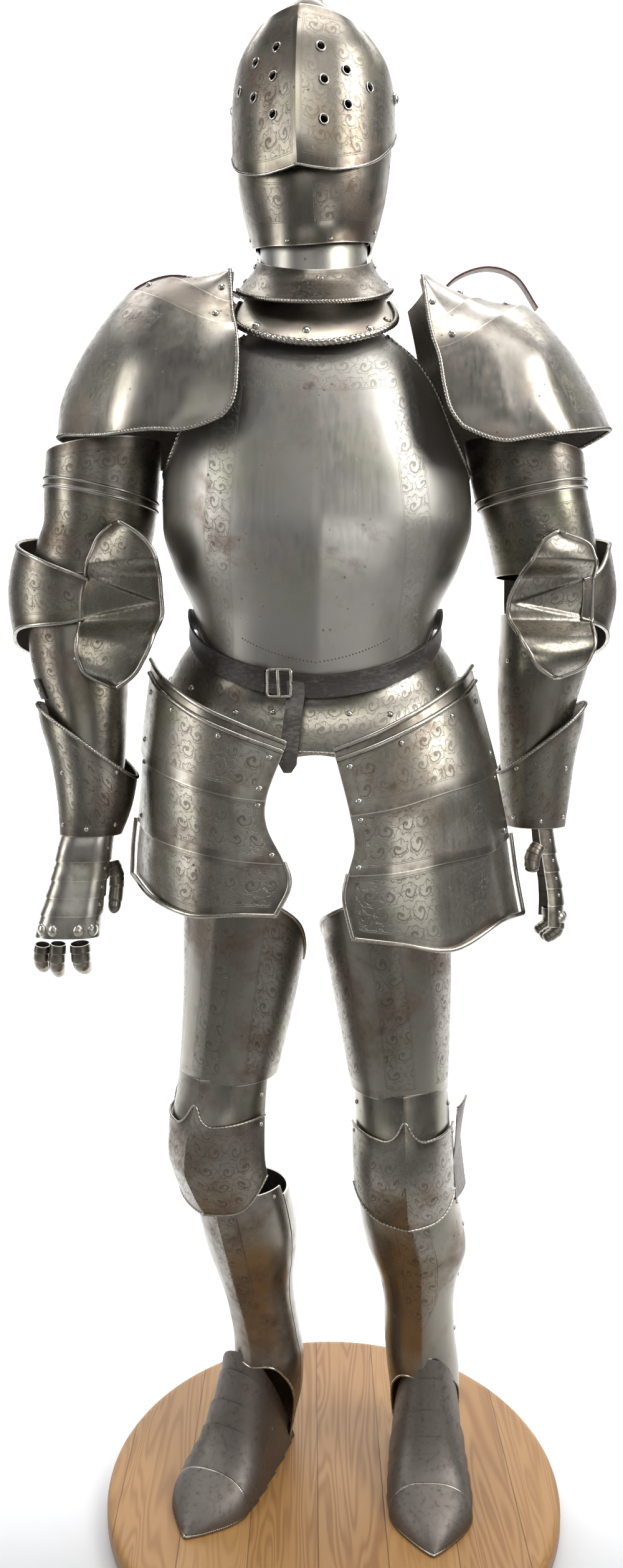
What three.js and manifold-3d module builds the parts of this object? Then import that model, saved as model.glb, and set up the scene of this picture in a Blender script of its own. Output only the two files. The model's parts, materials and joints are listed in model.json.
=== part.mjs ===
// A full suit of plate armour standing on a round wooden base.
// Millimetres, +Z up, the suit faces -Y. Origin: centre of the base's underside.
// "R" is the wearer's right, which lies at -X, and "L" the wearer's left, at +X.
import * as THREE from 'three';
import * as BufferGeometryUtils from 'three/addons/utils/BufferGeometryUtils.js';
import Module from 'manifold-3d';

const wasm = await Module();
wasm.setup();

// ---------------------------------------------------------------- driving dimensions
const BASE_R = 300;        // radius of the wooden base
const BASE_T = 30;         // its thickness
const STEEL = 2.0;         // thickness of the body plates
const THIN = 1.6;          // thickness of the small plates and lames
const BREATH_R = 4.0;      // radius of a breathing hole in the visor
const HEAD_YAW = 9;        // degrees that the helmet is turned to the wearer's right
const LEG_YAW = { R: 25, L: 2 };   // degrees that each leg is turned to the wearer's right
const STEEL_LOOK = { color: 0x8f9088, roughness: 0.38, metalness: 1.0 };
const DARK_LOOK = { color: 0x766d63, roughness: 0.45, metalness: 1.0 };
const WOOD_LOOK = { color: 0xb28c55, roughness: 0.45, metalness: 0.0 };
const LEATHER_LOOK = { color: 0x4a4038, roughness: 0.7, metalness: 0.0 };

const suit = new THREE.Group();
const RAD = Math.PI / 180;
const mix = (a, b, t) => a + (b - a) * t;

// ---------------------------------------------------------------- tables and curves
// A table is a list of rows; its first column is the key. Rows may run up or down.
function read(table, key, col) {
  const t = table[0][0] < table[table.length - 1][0] ? table : [...table].reverse();
  const n = t.length;
  if (key <= t[0][0]) return t[0][col];
  if (key >= t[n - 1][0]) return t[n - 1][col];
  let i = 0;
  while (key > t[i + 1][0]) i++;
  const slope = (k) => {
    if (k === 0) return (t[1][col] - t[0][col]) / (t[1][0] - t[0][0]);
    if (k === n - 1) return (t[n - 1][col] - t[n - 2][col]) / (t[n - 1][0] - t[n - 2][0]);
    const h0 = t[k][0] - t[k - 1][0], h1 = t[k + 1][0] - t[k][0];
    const s0 = (t[k][col] - t[k - 1][col]) / h0, s1 = (t[k + 1][col] - t[k][col]) / h1;
    return s0 * s1 <= 0 ? 0 : (s0 * h1 + s1 * h0) / (h0 + h1);
  };
  const h = t[i + 1][0] - t[i][0], s = (key - t[i][0]) / h;
  const a = t[i][col], b = t[i + 1][col], m0 = slope(i) * h, m1 = slope(i + 1) * h;
  return (2 * s ** 3 - 3 * s ** 2 + 1) * a + (s ** 3 - 2 * s ** 2 + s) * m0
    + (-2 * s ** 3 + 3 * s ** 2) * b + (s ** 3 - s ** 2) * m1;
}
const edge = (table) => (typeof table === 'number' ? () => table : (k) => read(table, k, 1));
const steps = (a, b, n) => Array.from({ length: n + 1 }, (_, i) => mix(a, b, i / n));
const row4 = (p, q, r, s, t) => {     // Catmull-Rom between q and r
  const f = (a, b, c, d) => 0.5 * (2 * b + (c - a) * t + (2 * a - 5 * b + 4 * c - d) * t * t + (3 * b - a - 3 * c + d) * t ** 3);
  return [f(p[0], q[0], r[0], s[0]), f(p[1], q[1], r[1], s[1]), f(p[2], q[2], r[2], s[2])];
};
function along(list, t) {             // point at t in 0..1 of a smooth line through the list
  const n = list.length - 1, x = Math.min(Math.max(t, 0), 1) * n, i = Math.min(Math.floor(x), n - 1);
  const ends = (k) => (k < 0 ? list[0].map((v, c) => 2 * v - list[1][c]) : k > n ? list[n].map((v, c) => 2 * v - list[n - 1][c]) : list[k]);
  return row4(ends(i - 1), list[i], list[i + 1], ends(i + 2), x - i);
}

// ---------------------------------------------------------------- surfaces
// Ring surface: horizontal ovals. Columns: z, x, y of the centre, w half width,
// f reach to the front, b reach to the back, k height of a ridge down the front.
// Angle 0 is the front and 90 the wearer's left.
function ring(table, { yaw = 0, ridge = 26, square = 2, lift = () => 0 } = {}) {
  const c0 = Math.cos(yaw * RAD), s0 = Math.sin(yaw * RAD), e = 2 / square;
  return (a, z) => {
    const [x, y, w, f, b, k] = [1, 2, 3, 4, 5, 6].map((c) => (table[0][c] === undefined ? 0 : read(table, z, c)));
    const s = Math.sin(a * RAD), c = Math.cos(a * RAD);
    const near = Math.max(0, 1 - Math.abs(((a + 540) % 360) - 180) / ridge);
    const px = w * Math.sign(s) * Math.abs(s) ** e;
    const py = -(c > 0 ? f : b) * Math.sign(c) * Math.abs(c) ** e - k * near * near;
    return [x + px * c0 + py * s0, y - px * s0 + py * c0, z + lift(a)];
  };
}
// Net surface: rows of points, smooth both ways; u runs along a row and v down the rows.
const net = (rows) => (u, v) => along(rows.map((r) => along(r, u)), v);

// ---------------------------------------------------------------- walls
// A wall has outer points P[row][column]; its inside is `thick` behind them.
function wall(P, { thick = THIN, off = 0, closed = false, pole = false, flip = 1 } = {}) {
  const rows = P.length, cols = P[0].length;
  const V = P.map((r) => r.map((p) => new THREE.Vector3(...p)));
  const N = V.map((r, j) => r.map((p, i) => {
    const l = closed ? V[j][(i + cols - 1) % cols] : V[j][Math.max(i - 1, 0)];
    const rr = closed ? V[j][(i + 1) % cols] : V[j][Math.min(i + 1, cols - 1)];
    const du = rr.clone().sub(l), dv = V[Math.min(j + 1, rows - 1)][i].clone().sub(V[Math.max(j - 1, 0)][i]);
    return dv.cross(du).normalize().multiplyScalar(flip);
  }));
  if (pole) N[0].forEach((n) => n.set(0, 0, 1));
  const pos = [], at = [[], []];
  for (const side of [0, 1]) {
    for (let j = 0; j < rows; j++) {
      at[side].push([]);
      for (let i = 0; i < cols; i++) {
        if (pole && j === 0 && i > 0) { at[side][j].push(at[side][0][0]); continue; }
        const p = V[j][i].clone().addScaledVector(N[j][i], off - (side ? thick : 0));
        at[side][j].push(pos.length / 3);
        pos.push(p.x, p.y, p.z);
      }
    }
  }
  const idx = [];
  const tri = (a, b, c) => { if (a !== b && b !== c && a !== c) idx.push(a, b, c); };
  const quad = (a, b, c, d) => { tri(a, b, c); tri(a, c, d); };
  const m = closed ? cols : cols - 1;
  for (let j = 0; j < rows - 1; j++) for (let i = 0; i < m; i++) {
    const k = (i + 1) % cols;
    quad(at[0][j][i], at[0][j + 1][i], at[0][j + 1][k], at[0][j][k]);
    quad(at[1][j][i], at[1][j][k], at[1][j + 1][k], at[1][j + 1][i]);
  }
  for (let i = 0; i < m; i++) {
    const k = (i + 1) % cols;
    if (!pole) quad(at[0][0][i], at[0][0][k], at[1][0][k], at[1][0][i]);
    quad(at[0][rows - 1][i], at[1][rows - 1][i], at[1][rows - 1][k], at[0][rows - 1][k]);
  }
  if (!closed) for (let j = 0; j < rows - 1; j++) {
    quad(at[0][j][0], at[1][j][0], at[1][j + 1][0], at[0][j + 1][0]);
    quad(at[0][j][cols - 1], at[0][j + 1][cols - 1], at[1][j + 1][cols - 1], at[1][j][cols - 1]);
  }
  let vol = 0;
  const q = (i) => new THREE.Vector3(pos[3 * i], pos[3 * i + 1], pos[3 * i + 2]);
  for (let t = 0; t < idx.length; t += 3) vol += q(idx[t]).dot(q(idx[t + 1]).cross(q(idx[t + 2])));
  if (vol < 0) for (let t = 0; t < idx.length; t += 3) [idx[t + 1], idx[t + 2]] = [idx[t + 2], idx[t + 1]];
  const g = new THREE.BufferGeometry();
  g.setAttribute('position', new THREE.Float32BufferAttribute(pos, 3));
  g.setIndex(idx);
  return g;
}
// Plate cut from a ring surface: columns at the angles A, from the edge T down to the edge B.
// `side` narrows the plate: a table of height and half angle.
function shell(surface, { A, T, B, rows = 4, side, vs, ...how }) {
  const top = edge(T), bottom = edge(B), list = vs || steps(0, 1, rows);
  const half = A[A.length - 1];
  return wall(list.map((v) => A.map((a0) => {
    const a = side ? (a0 / half) * read(side, mix(top(0), bottom(0), v), 1) : a0;
    return surface(a, mix(top(a), bottom(a), v));
  })), how);
}
// Plate cut from a net surface.
const patch = (surface, { u = [0, 1], v = [0, 1], nu = 8, nv = 3, ...how }) =>
  wall(steps(v[0], v[1], nv).map((y) => steps(u[0], u[1], nu).map((x) => surface(x, y))), how);

// ---------------------------------------------------------------- solids
function solid(g) {
  const c = g.clone();
  c.deleteAttribute('normal'); c.deleteAttribute('uv');
  const m = BufferGeometryUtils.mergeVertices(c, 1e-4);
  return new wasm.Manifold(new wasm.Mesh({
    numProp: 3,
    vertProperties: new Float32Array(m.attributes.position.array),
    triVerts: new Uint32Array(m.index.array),
  }));
}
function back(manifold) {
  const m = manifold.getMesh(), g = new THREE.BufferGeometry();
  g.setAttribute('position', new THREE.Float32BufferAttribute(Array.from(m.vertProperties), 3));
  g.setIndex(Array.from(m.triVerts));
  return g;
}
function put(name, g, look = STEEL_LOOK) {
  const flat = g.index ? g : BufferGeometryUtils.mergeVertices(g, 1e-4);
  flat.computeVertexNormals();
  const mesh = new THREE.Mesh(flat, new THREE.MeshStandardMaterial(look));
  mesh.name = name;
  suit.add(mesh);
}
// Row of flat strips between two lines of points, used for belts, tails and tabs.
const strip = (a, b, how) => wall([a, b], how);

// ================================================================ wooden base
{
  const prof = [[0, 0], [294, 0], [298, 4], [BASE_R, 10], [BASE_R, 20], [298, 26], [292, BASE_T], [0, BASE_T]];
  const g = new THREE.LatheGeometry(prof.map(([r, z]) => new THREE.Vector2(r, z)), 40);
  g.rotateX(Math.PI / 2);
  put('base', back(solid(g)), WOOD_LOOK);
}

// ================================================================ legs
// Foot shell. Columns: key, g where the section meets the ground and t where its crown is,
// both measured from the heel along the foot, w half width, h height of the crown.
const FOOT = [
  [0, 264, 262, 4, 6], [1, 252, 248, 24, 18], [2, 232, 226, 43, 29], [3, 203, 201, 52, 40],
  [4, 168, 182, 52, 53], [5, 130, 166, 48, 73], [6, 92, 150, 42, 104], [7, 62, 136, 37, 138],
];
const HEEL = { R: [-76, 130], L: [134, 124] };
const FOOT_YAW = { R: 24, L: 3 };
function footSurface(sideName) {
  const [hx, hy] = HEEL[sideName], q = FOOT_YAW[sideName] * RAD;
  const dir = [-Math.sin(q), -Math.cos(q)], lat = [Math.cos(q), -Math.sin(q)];
  return (a, key) => {
    const [g, t, w, h] = [1, 2, 3, 4].map((c) => read(FOOT, key, c));
    const c = Math.max(0, Math.cos(a * RAD)) ** 0.85, s = Math.sign(a) * Math.abs(Math.sin(a * RAD)) ** 0.8;
    const d = mix(g, t, c);
    return [hx + dir[0] * d + lat[0] * w * s, hy + dir[1] * d + lat[1] * w * s, BASE_T + 1 + h * c];
  };
}
// Lower leg, shin and calf. Columns: z, x, y, w, f, b, k.
const SHIN = {
  R: [
    [455, -124, -2, 57, 60, 60, 6], [420, -119, 4, 61, 62, 66, 8], [379, -113, 12, 62, 60, 70, 8], [330, -108, 22, 57, 53, 66, 7],
    [294, -104, 29, 49, 48, 58, 6], [249, -97, 36, 45, 44, 50, 5], [211, -91, 42, 45, 45, 47, 4], [173, -87, 46, 47, 52, 48, 2],
    [130, -88, 52, 47, 54, 48, 0], [75, -94, 62, 43, 52, 48, 0], [36, -98, 66, 40, 50, 46, 0],
  ],
  L: [
    [455, 93, -2, 60, 60, 60, 6], [420, 98, 4, 65, 62, 66, 8], [379, 105, 12, 67, 60, 70, 8], [341, 112, 20, 65, 54, 67, 7],
    [294, 115, 29, 52, 48, 58, 6], [249, 117, 36, 47, 44, 50, 5], [207, 119, 42, 48, 45, 47, 4], [160, 124, 46, 49, 52, 48, 2],
    [125, 127, 52, 48, 54, 48, 0], [75, 129, 60, 44, 52, 48, 0], [36, 131, 64, 41, 50, 46, 0],
  ],
};
// Knee. Same columns.
const KNEE = {
  R: [
    [612, -135, -14, 65, 67, 60, 6], [575, -138, -15, 65, 74, 60, 8], [545, -140, -15, 66, 84, 58, 10], [505, -140, -15, 66, 90, 58, 12],
    [470, -136, -13, 65, 82, 58, 10], [432, -130, -9, 62, 70, 58, 6],
  ],
  L: [
    [595, 85, -14, 63, 67, 60, 6], [558, 87, -15, 64, 74, 60, 8], [525, 88, -15, 65, 84, 58, 10], [485, 89, -15, 66, 90, 58, 12],
    [450, 91, -13, 66, 82, 58, 10], [414, 94, -9, 64, 70, 58, 6],
  ],
};
// Thigh. Same columns.
const THIGH = {
  R: [[870, -101, -4, 86, 88, 82, 0], [797, -110, -6, 81, 82, 78, 2], [697, -120, -9, 72, 74, 70, 5], [640, -128, -12, 67, 69, 66, 5], [585, -137, -14, 62, 64, 62, 4]],
  L: [[860, 60, -4, 86, 88, 82, 0], [790, 65, -6, 83, 84, 80, 2], [697, 74, -9, 75, 76, 72, 5], [640, 79, -12, 69, 70, 67, 5], [565, 85, -14, 61, 63, 61, 4]],
};
const LEG_EDGES = {
  // top edge of the cuisse by angle, then bottom edges and the tops of the knee plates
  R: {
    cuisseTop: [[-115, 858], [-20, 856], [30, 838], [58, 818], [80, 796], [100, 766], [115, 742]], cuisse: 597,
    lameTop: 595, lame: 566, capTop: [[-60, 553], [-25, 552], [-9, 562], [0, 578], [9, 562], [25, 552], [60, 553]], cap: [[-80, 468], [-45, 444], [0, 434], [45, 438], [80, 474]],
    shinTop: 446, shinLow: [[-91, 66], [-72, 132], [-50, 168], [0, 181], [50, 168], [72, 132], [91, 66]],
  },
  L: {
    cuisseTop: [[-115, 742], [-100, 766], [-80, 790], [-58, 806], [-30, 824], [20, 842], [115, 846]], cuisse: 578,
    lameTop: 576, lame: 547, capTop: [[-60, 534], [-25, 533], [-9, 543], [0, 559], [9, 543], [25, 533], [60, 534]], cap: [[-80, 452], [-45, 424], [0, 416], [45, 424], [80, 452]],
    shinTop: 428, shinLow: [[-91, 66], [-72, 122], [-50, 154], [0, 166], [50, 154], [72, 122], [91, 66]],
  },
};
for (const S of ['R', 'L']) {
  const E = LEG_EDGES[S], yaw = LEG_YAW[S], foot = footSurface(S);
  const shin = ring(SHIN[S], { yaw, ridge: 40 }), knee = ring(KNEE[S], { yaw, ridge: 34 }), thigh = ring(THIGH[S], { yaw, ridge: 40 });
  const out = S === 'R' ? -1 : 1;      // the outer side of this leg
  put(`toe_cap_${S}`, wall(steps(0, 3, 3).map((k) => steps(-90, 90, 8).map((a) => foot(a, k))), { thick: THIN }), DARK_LOOK);
  // instep: the lames between the toe cap and the ankle, one shell just under the cap's edge
  put(`instep_${S}`, wall([3.06, 4, 5, 6, 7].map((k) => steps(-90, 90, 8).map((a) => foot(a, k))), { thick: THIN, off: -1.2 }), DARK_LOOK);
  put(`greave_front_${S}`, shell(shin, { A: [-91, -66, -44, -22, 0, 22, 44, 66, 91], T: E.shinTop, B: E.shinLow, rows: 6, thick: STEEL }));
  put(`greave_back_${S}`, shell(shin, { A: steps(93.5, 266.5, 7), T: E.shinTop - 14, B: 34, rows: 5, thick: STEEL }));
  put(`cuisse_${S}`, shell(thigh, { A: steps(-115, 115, 10), T: E.cuisseTop, B: E.cuisse, rows: 4, thick: STEEL }));
  put(`knee_lame_${S}`, shell(knee, { A: steps(-84, 84, 8), T: E.lameTop, B: E.lame - 18, rows: 2, off: -3.8 }));
  const cap = shell(knee, { A: [-80, -60, -40, -20, -8, 0, 8, 20, 40, 60, 80], T: E.capTop, B: E.cap, rows: 4, off: 0 });
  // side wing of the knee, a shallow oval fan forged in one with the cap on its outer side
  const kz = E.cap[2][1] + 70, row = KNEE[S][3], c = Math.cos(yaw * RAD), s = Math.sin(yaw * RAD);
  const wing = wall(steps(-1, 1, 4).map((v) => steps(0, 1, 4).map((u) => {
    const r = Math.sqrt(1 - v * v * 0.72);
    const px = out * (row[3] - 4 + 26 * u - 9 * u * u + 6 * Math.abs(v)), py = -24 + 88 * (0.5 + (u - 0.5) * r);
    return [row[1] + px * c + py * s, row[2] - px * s + py * c, kz + v * 60];
  })), { thick: THIN, flip: out });
  put(`poleyn_${S}`, back(solid(cap).add(solid(wing))));
}

// ================================================================ torso
const waist = (a) => { const b = Math.abs(((a + 540) % 360) - 180); return b > 90 ? 83 : 83 * (b / 90) ** 1.7; };
// Columns: z, x, y, w, f, b, k.
const TORSO = [
  [1530, -24, 18, 84, 80, 90, 0], [1504, -24, 18, 96, 104, 98, 1], [1465, -24, 18, 138, 132, 106, 2], [1400, -24, 18, 172, 154, 118, 4],
  [1340, -23, 18, 188, 163, 120, 6], [1284, -22, 18, 191, 164, 120, 8], [1230, -23, 18, 176, 156, 114, 8], [1173, -24, 18, 150, 140, 106, 7],
  [1116, -24, 18, 147, 124, 104, 5], [1088, -24, 18, 147, 117, 104, 3],
];
const torso = ring(TORSO, { ridge: 20, square: 2.15 });
put('breastplate', shell(torso, {
  A: [-90, -74, -58, -42, -28, -14, 0, 14, 28, 42, 58, 74, 90], T: [[-60, 1512], [-30, 1494], [0, 1488], [30, 1494], [60, 1512]],
  B: [[-90, 1173], [-60, 1132], [-30, 1103], [0, 1090], [30, 1103], [60, 1132], [90, 1173]],
  side: [[1090, 91], [1284, 91], [1304, 76], [1330, 67], [1400, 60], [1440, 55], [1488, 46]], rows: 7, thick: STEEL,
}));
put('backplate', shell(torso, { A: steps(92.4, 267.6, 9), T: 1480, B: 1175, rows: 4, thick: STEEL }));
// Fauld: heights are measured from the sloping waist line.
const SKIRT = [[0, -24, 18, 147, 117, 104, 2], [-22, -24, 18, 153, 124, 110, 1], [-50, -24, 18, 171, 143, 124, 0], [-88, -25, 16, 189, 162, 140, 0]];
const skirt = ring(SKIRT, { ridge: 20, square: 2.1, lift: (a) => 1087 + waist(a) });
const around = [...steps(-90, 90, 12), ...steps(112, 248, 5).map((a) => a)].filter((a, i, l) => l.indexOf(a) === i);
put('fauld', shell(skirt, {
  A: around, closed: true, T: 0, B: [[-180, -74], [-90, -74], [-30, -80], [-12, -80], [0, -74], [12, -80], [30, -80], [90, -74], [270, -74]],
  rows: 2, thick: STEEL,
}));
// Belt: same waist line, outside both plates, with its free end hanging at the front.
const BELT = [[14, -24, 18, 160, 129, 121, 0], [0, -24, 18, 158, 127, 119, 0], [-14, -24, 18, 159, 129, 120, 0]];
const beltPath = ring(BELT, { square: 2.1, lift: (a) => 1087 + waist(a) });
{
  const loop = solid(shell(beltPath, { A: around, closed: true, T: 13, B: -12, rows: 1, thick: 3 }));
  const tail = [[-48, -103, 1094], [-47, -116, 1078], [-50, -132, 1055], [-53, -140, 1030], [-55, -148, 1010], [-56, -153, 992]];
  const hang = solid(wall(tail.map(([x, y, z]) => [[x - 10, y - 2, z], [x, y - 2.4, z], [x + 10, y - 2, z]]), { thick: 3, off: 2 }));
  put('belt', back(loop.add(hang)), LEATHER_LOOK);
  const frame = new THREE.Shape([[-15, -17], [15, -17], [15, 17], [-15, 17]].map(([x, y]) => new THREE.Vector2(x, y)));
  frame.holes.push(new THREE.Path([[-10, -12], [-10, 12], [10, 12], [10, -12]].map(([x, y]) => new THREE.Vector2(x, y))));
  const g = new THREE.ExtrudeGeometry(frame, { depth: 3, bevelEnabled: false });
  g.rotateX(Math.PI / 2 + 0.02);
  g.rotateZ(-0.16);
  g.translate(-66, -121.5, 1092);
  put('buckle', back(solid(g)), DARK_LOOK);
}
// Tassets: three lames hang from each side of the fauld. Rows of points run from the
// inner edge at the fork, over the front of the thigh, to the outer edge behind.
const TASSET = {
  R: [
    [[-57, -154, 1024], [-110, -149, 1045], [-162, -126, 1068], [-204, -80, 1096], [-228, -8, 1118]],
    [[-79, -164, 966], [-122, -160, 972], [-170, -140, 984], [-216, -92, 1000], [-242, -10, 1014]],
    [[-79, -168, 932], [-119, -164, 936], [-168, -147, 945], [-218, -97, 956], [-246, -11, 966]],
    [[-60, -171, 893], [-112, -169, 897], [-166, -152, 905], [-219, -100, 914], [-250, -12, 922]],
    [[-54, -173, 866], [-110, -172, 866], [-166, -156, 871], [-221, -103, 880], [-254, -13, 888]],
    [[-70, -174, 832], [-112, -174, 833], [-166, -160, 830], [-216, -112, 840], [-256, -14, 851]],
  ],
  L: [
    [[-4, -154, 1016], [46, -150, 1036], [98, -127, 1062], [144, -80, 1090], [170, -8, 1110]],
    [[13, -166, 950], [66, -163, 960], [120, -142, 975], [172, -94, 986], [202, -10, 994]],
    [[19, -170, 912], [68, -168, 918], [122, -148, 930], [178, -99, 940], [213, -11, 946]],
    [[12, -173, 880], [66, -172, 884], [124, -153, 893], [184, -104, 898], [222, -12, 902]],
    [[8, -175, 850], [64, -175, 846], [126, -158, 842], [190, -108, 846], [230, -13, 850]],
    [[18, -176, 806], [70, -176, 800], [134, -160, 790], [196, -112, 812], [240, -14, 800]],
  ],
};
for (const S of ['R', 'L']) {
  const s = net(TASSET[S]), flip = S === 'R' ? -1 : 1;
  put(`tasset_upper_${S}`, patch(s, { v: [0, 0.225], nu: 8, nv: 2, flip, off: 0 }));
  put(`tasset_middle_${S}`, patch(s, { v: [0.195, 0.62], nu: 8, nv: 2, flip, off: -3 }));
  put(`tasset_lower_${S}`, patch(s, { v: [0.59, 1], nu: 8, nv: 2, flip, off: -6 }));
}

// ================================================================ gorget and collar
const NECK = [
  [1640, -26, 10, 64.5, 74.5, 70, 0], [1560, -26, 10, 64.5, 74.5, 71, 0],
];
const GORGET = [
  [0, -25, 12, 62, 72, 68, 0], [-28, -25, 13, 78, 88, 80, 0], [-50, -25, 14, 100, 110, 94, 0], [-70, -25, 15, 132, 132, 110, 0], [-92, -24, 16, 164, 149, 124, 0],
];
const COLLAR = [
  [0, -25, 11, 70, 81, 78, 0], [-14, -25, 11, 75, 87, 83, 0], [-30, -25, 11, 88, 101, 93, 0], [-48, -25, 11, 105, 121, 108, 0],
];
const dip = (a) => Math.max(0, Math.cos(a * RAD));
put('neck_band', shell(ring(NECK, { yaw: HEAD_YAW }), {
  A: steps(-180, 157.5, 15), closed: true, rows: 1,
  T: [[-180, 1624], [-90, 1624], [-45, 1610], [0, 1602], [45, 1610], [90, 1624], [180, 1624]],
  B: [[-180, 1584], [-90, 1584], [-45, 1560], [0, 1550], [45, 1560], [90, 1584], [180, 1584]],
}));
put('gorget_plate', shell(ring(GORGET, { lift: (a) => 1592 - 38 * dip(a) }), {
  A: steps(-180, 157.5, 15), closed: true, rows: 3, T: -10,
  B: [[-180, -84], [-120, -52], [-90, -42], [-70, -51], [-45, -66], [-25, -79], [0, -90], [25, -79], [45, -66], [70, -51], [90, -42], [120, -52], [180, -84]],
}), DARK_LOOK);
put('gorget_collar', shell(ring(COLLAR, { lift: (a) => 1603 - 40 * dip(a) }), {
  A: steps(-180, 157.5, 15), closed: true, rows: 2, T: 0, B: [[-180, -36], [-90, -36], [0, -48], [90, -36], [180, -36]],
}), DARK_LOOK);

// ================================================================ helmet
// Columns: z, x, y, w, f, b, k.
const PIVOT_Z = 1772;
// Breathing holes of the visor. Columns: angle from the ridge, height on the right, height on the left.
const BREATHS = [[15, 1785, 1782], [17, 1755, 1747], [17, 1715, 1706], [32, 1778, 1762], [33, 1741, 1726], [50, 1760, 1753]];
const SKULL = [
  [1881, -22, 2, 1, 4, 4, 0], [1878, -22, 2, 9, 30, 30, 0], [1868, -24, 2, 17, 52, 54, 0], [1859, -25, 2, 29, 65, 67, 0], [1849, -26, 2, 44, 76, 78, 0],
  [1832, -26, 2, 64, 89, 92, 0], [1805, -26, 2, 82, 101, 104, 0], [1770, -26, 2, 91, 105, 109, 0], [1733, -26, 2, 91, 104, 109, 0],
  [1690, -26, 3, 88, 100, 104, 0], [1657, -26, 4, 83, 97, 98, 0], [1630, -26, 6, 76, 90, 88, 0], [1610, -26, 9, 70, 84, 79, 0], [1575, -26, 10, 68, 79, 76, 0],
];
const VISOR = [
  [1834, -26, 2, 70, 97, 97, 3], [1805, -26, 2, 89, 108, 108, 9], [1770, -26, 2, 96, 114, 114, 12], [1733, -26, 2, 97, 116, 114, 14],
  [1690, -26, 2, 96, 115, 112, 14], [1660, -26, 2, 95, 112, 110, 9], [1640, -26, 2, 94, 110, 108, 5],
];
const skull = ring(SKULL, { yaw: HEAD_YAW });
put('helmet_skull', shell(skull, {
  A: [-80, -76, -50, -25, 0, 25, 50, 76, 80, 104, 129, 154, 180, 206, 231, 256], closed: true, pole: true, vs: [0, 0.04, 0.12, 0.24, 0.4, 0.6, 0.8, 1],
  T: 1881, B: [[-104, 1612], [-80, 1612], [-76, 1790], [-50, 1800], [0, 1804], [50, 1800], [76, 1790], [80, 1612], [256, 1612]], thick: STEEL,
}));
put('bevor', shell(skull, {
  A: steps(-87, 87, 12), T: [[-87, 1738], [-74, 1718], [-55, 1692], [-38, 1676], [0, 1664], [38, 1676], [55, 1692], [74, 1718], [87, 1738]],
  B: [[-87, 1614], [-45, 1598], [0, 1589], [45, 1598], [87, 1614]], rows: 4, thick: 1.9, off: 3.28,
}));
{
  const visor = ring(VISOR, { yaw: HEAD_YAW, ridge: 24 });
  let body = solid(shell(visor, {
    A: [-98, -84, -68, -50, -33, -17, 0, 17, 33, 50, 68, 84, 98],
    T: [[-98, 1798], [-80, 1814], [-40, 1828], [0, 1833], [40, 1828], [80, 1814], [98, 1798]],
    B: [[-98, 1742], [-90, 1728], [-77, 1708], [-55, 1677], [-38, 1659], [-20, 1650], [-10, 1651], [0, 1654], [10, 1651], [20, 1650], [38, 1659], [55, 1677], [77, 1708], [90, 1728], [98, 1742]],
    rows: 5, thick: STEEL,
  }));
  for (const [a, right, left] of BREATHS) {
    for (const [m, z] of [[-1, right], [1, left]]) {
      const p = visor(a * m, z), g = new THREE.CylinderGeometry(BREATH_R, BREATH_R, 24, 6);
      const dir = new THREE.Vector3(p[0] + 26, (p[1] - 2) * 0.8, 0).normalize();
      g.applyQuaternion(new THREE.Quaternion().setFromUnitVectors(new THREE.Vector3(0, 1, 0), dir));
      g.translate(p[0], p[1], p[2]);
      body = body.subtract(solid(g));
    }
  }
  for (const m of [-1, 1]) {     // pivot bolts of the visor
    const g = new THREE.LatheGeometry([[0, 0], [7, 0], [7, 2], [4, 4.5], [0, 5]].map(([r, z]) => new THREE.Vector2(r, z)), 8);
    g.rotateZ(-m * Math.PI / 2);
    const p = visor(90 * m, PIVOT_Z), y = HEAD_YAW * RAD;
    g.rotateZ(-y);
    g.translate(p[0] - m * 1 * Math.cos(y), p[1] + m * 1 * Math.sin(y), PIVOT_Z);
    body = body.add(solid(g));
  }
  put('visor', back(body));
}

// ================================================================ arms
// Pauldron rows run from the front inner edge over the shoulder to the back inner edge.
const PAULDRON = {
  R: [
    [[-122, -74, 1562], [-130, -62, 1569], [-137, -36, 1576], [-139, 2, 1580], [-136, 48, 1580], [-126, 84, 1568]],
    [[-118, -100, 1512], [-156, -82, 1536], [-190, -42, 1563], [-206, 5, 1576], [-186, 62, 1560], [-130, 98, 1524]],
    [[-112, -124, 1478], [-158, -110, 1497], [-212, -70, 1530], [-250, 0, 1554], [-214, 82, 1530], [-130, 118, 1490]],
    [[-111, -134, 1438], [-168, -130, 1448], [-240, -92, 1475], [-300, 0, 1492], [-240, 98, 1475], [-132, 128, 1440]],
    [[-118, -140, 1397], [-176, -138, 1398], [-255, -106, 1412], [-330, 0, 1434], [-255, 108, 1412], [-136, 132, 1400]],
    [[-152, -138, 1366], [-202, -133, 1373], [-264, -104, 1373], [-338, 0, 1388], [-262, 108, 1374], [-150, 130, 1368]],
  ],
  L: [
    [[98, -72, 1556], [105, -62, 1564], [112, -36, 1572], [114, 2, 1576], [110, 48, 1576], [100, 84, 1564]],
    [[104, -112, 1487], [130, -100, 1506], [160, -60, 1534], [186, 2, 1550], [166, 66, 1540], [110, 100, 1508]],
    [[113, -126, 1451], [162, -112, 1484], [200, -70, 1514], [230, 0, 1540], [198, 82, 1520], [115, 118, 1478]],
    [[118, -134, 1417], [182, -126, 1440], [235, -92, 1472], [278, 0, 1490], [228, 98, 1470], [120, 128, 1430]],
    [[128, -140, 1386], [192, -137, 1394], [250, -108, 1420], [312, 0, 1440], [250, 108, 1412], [125, 132, 1396]],
    [[160, -138, 1353], [212, -132, 1364], [270, -110, 1375], [334, 0, 1396], [262, 108, 1372], [136, 130, 1362]],
  ],
};
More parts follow.
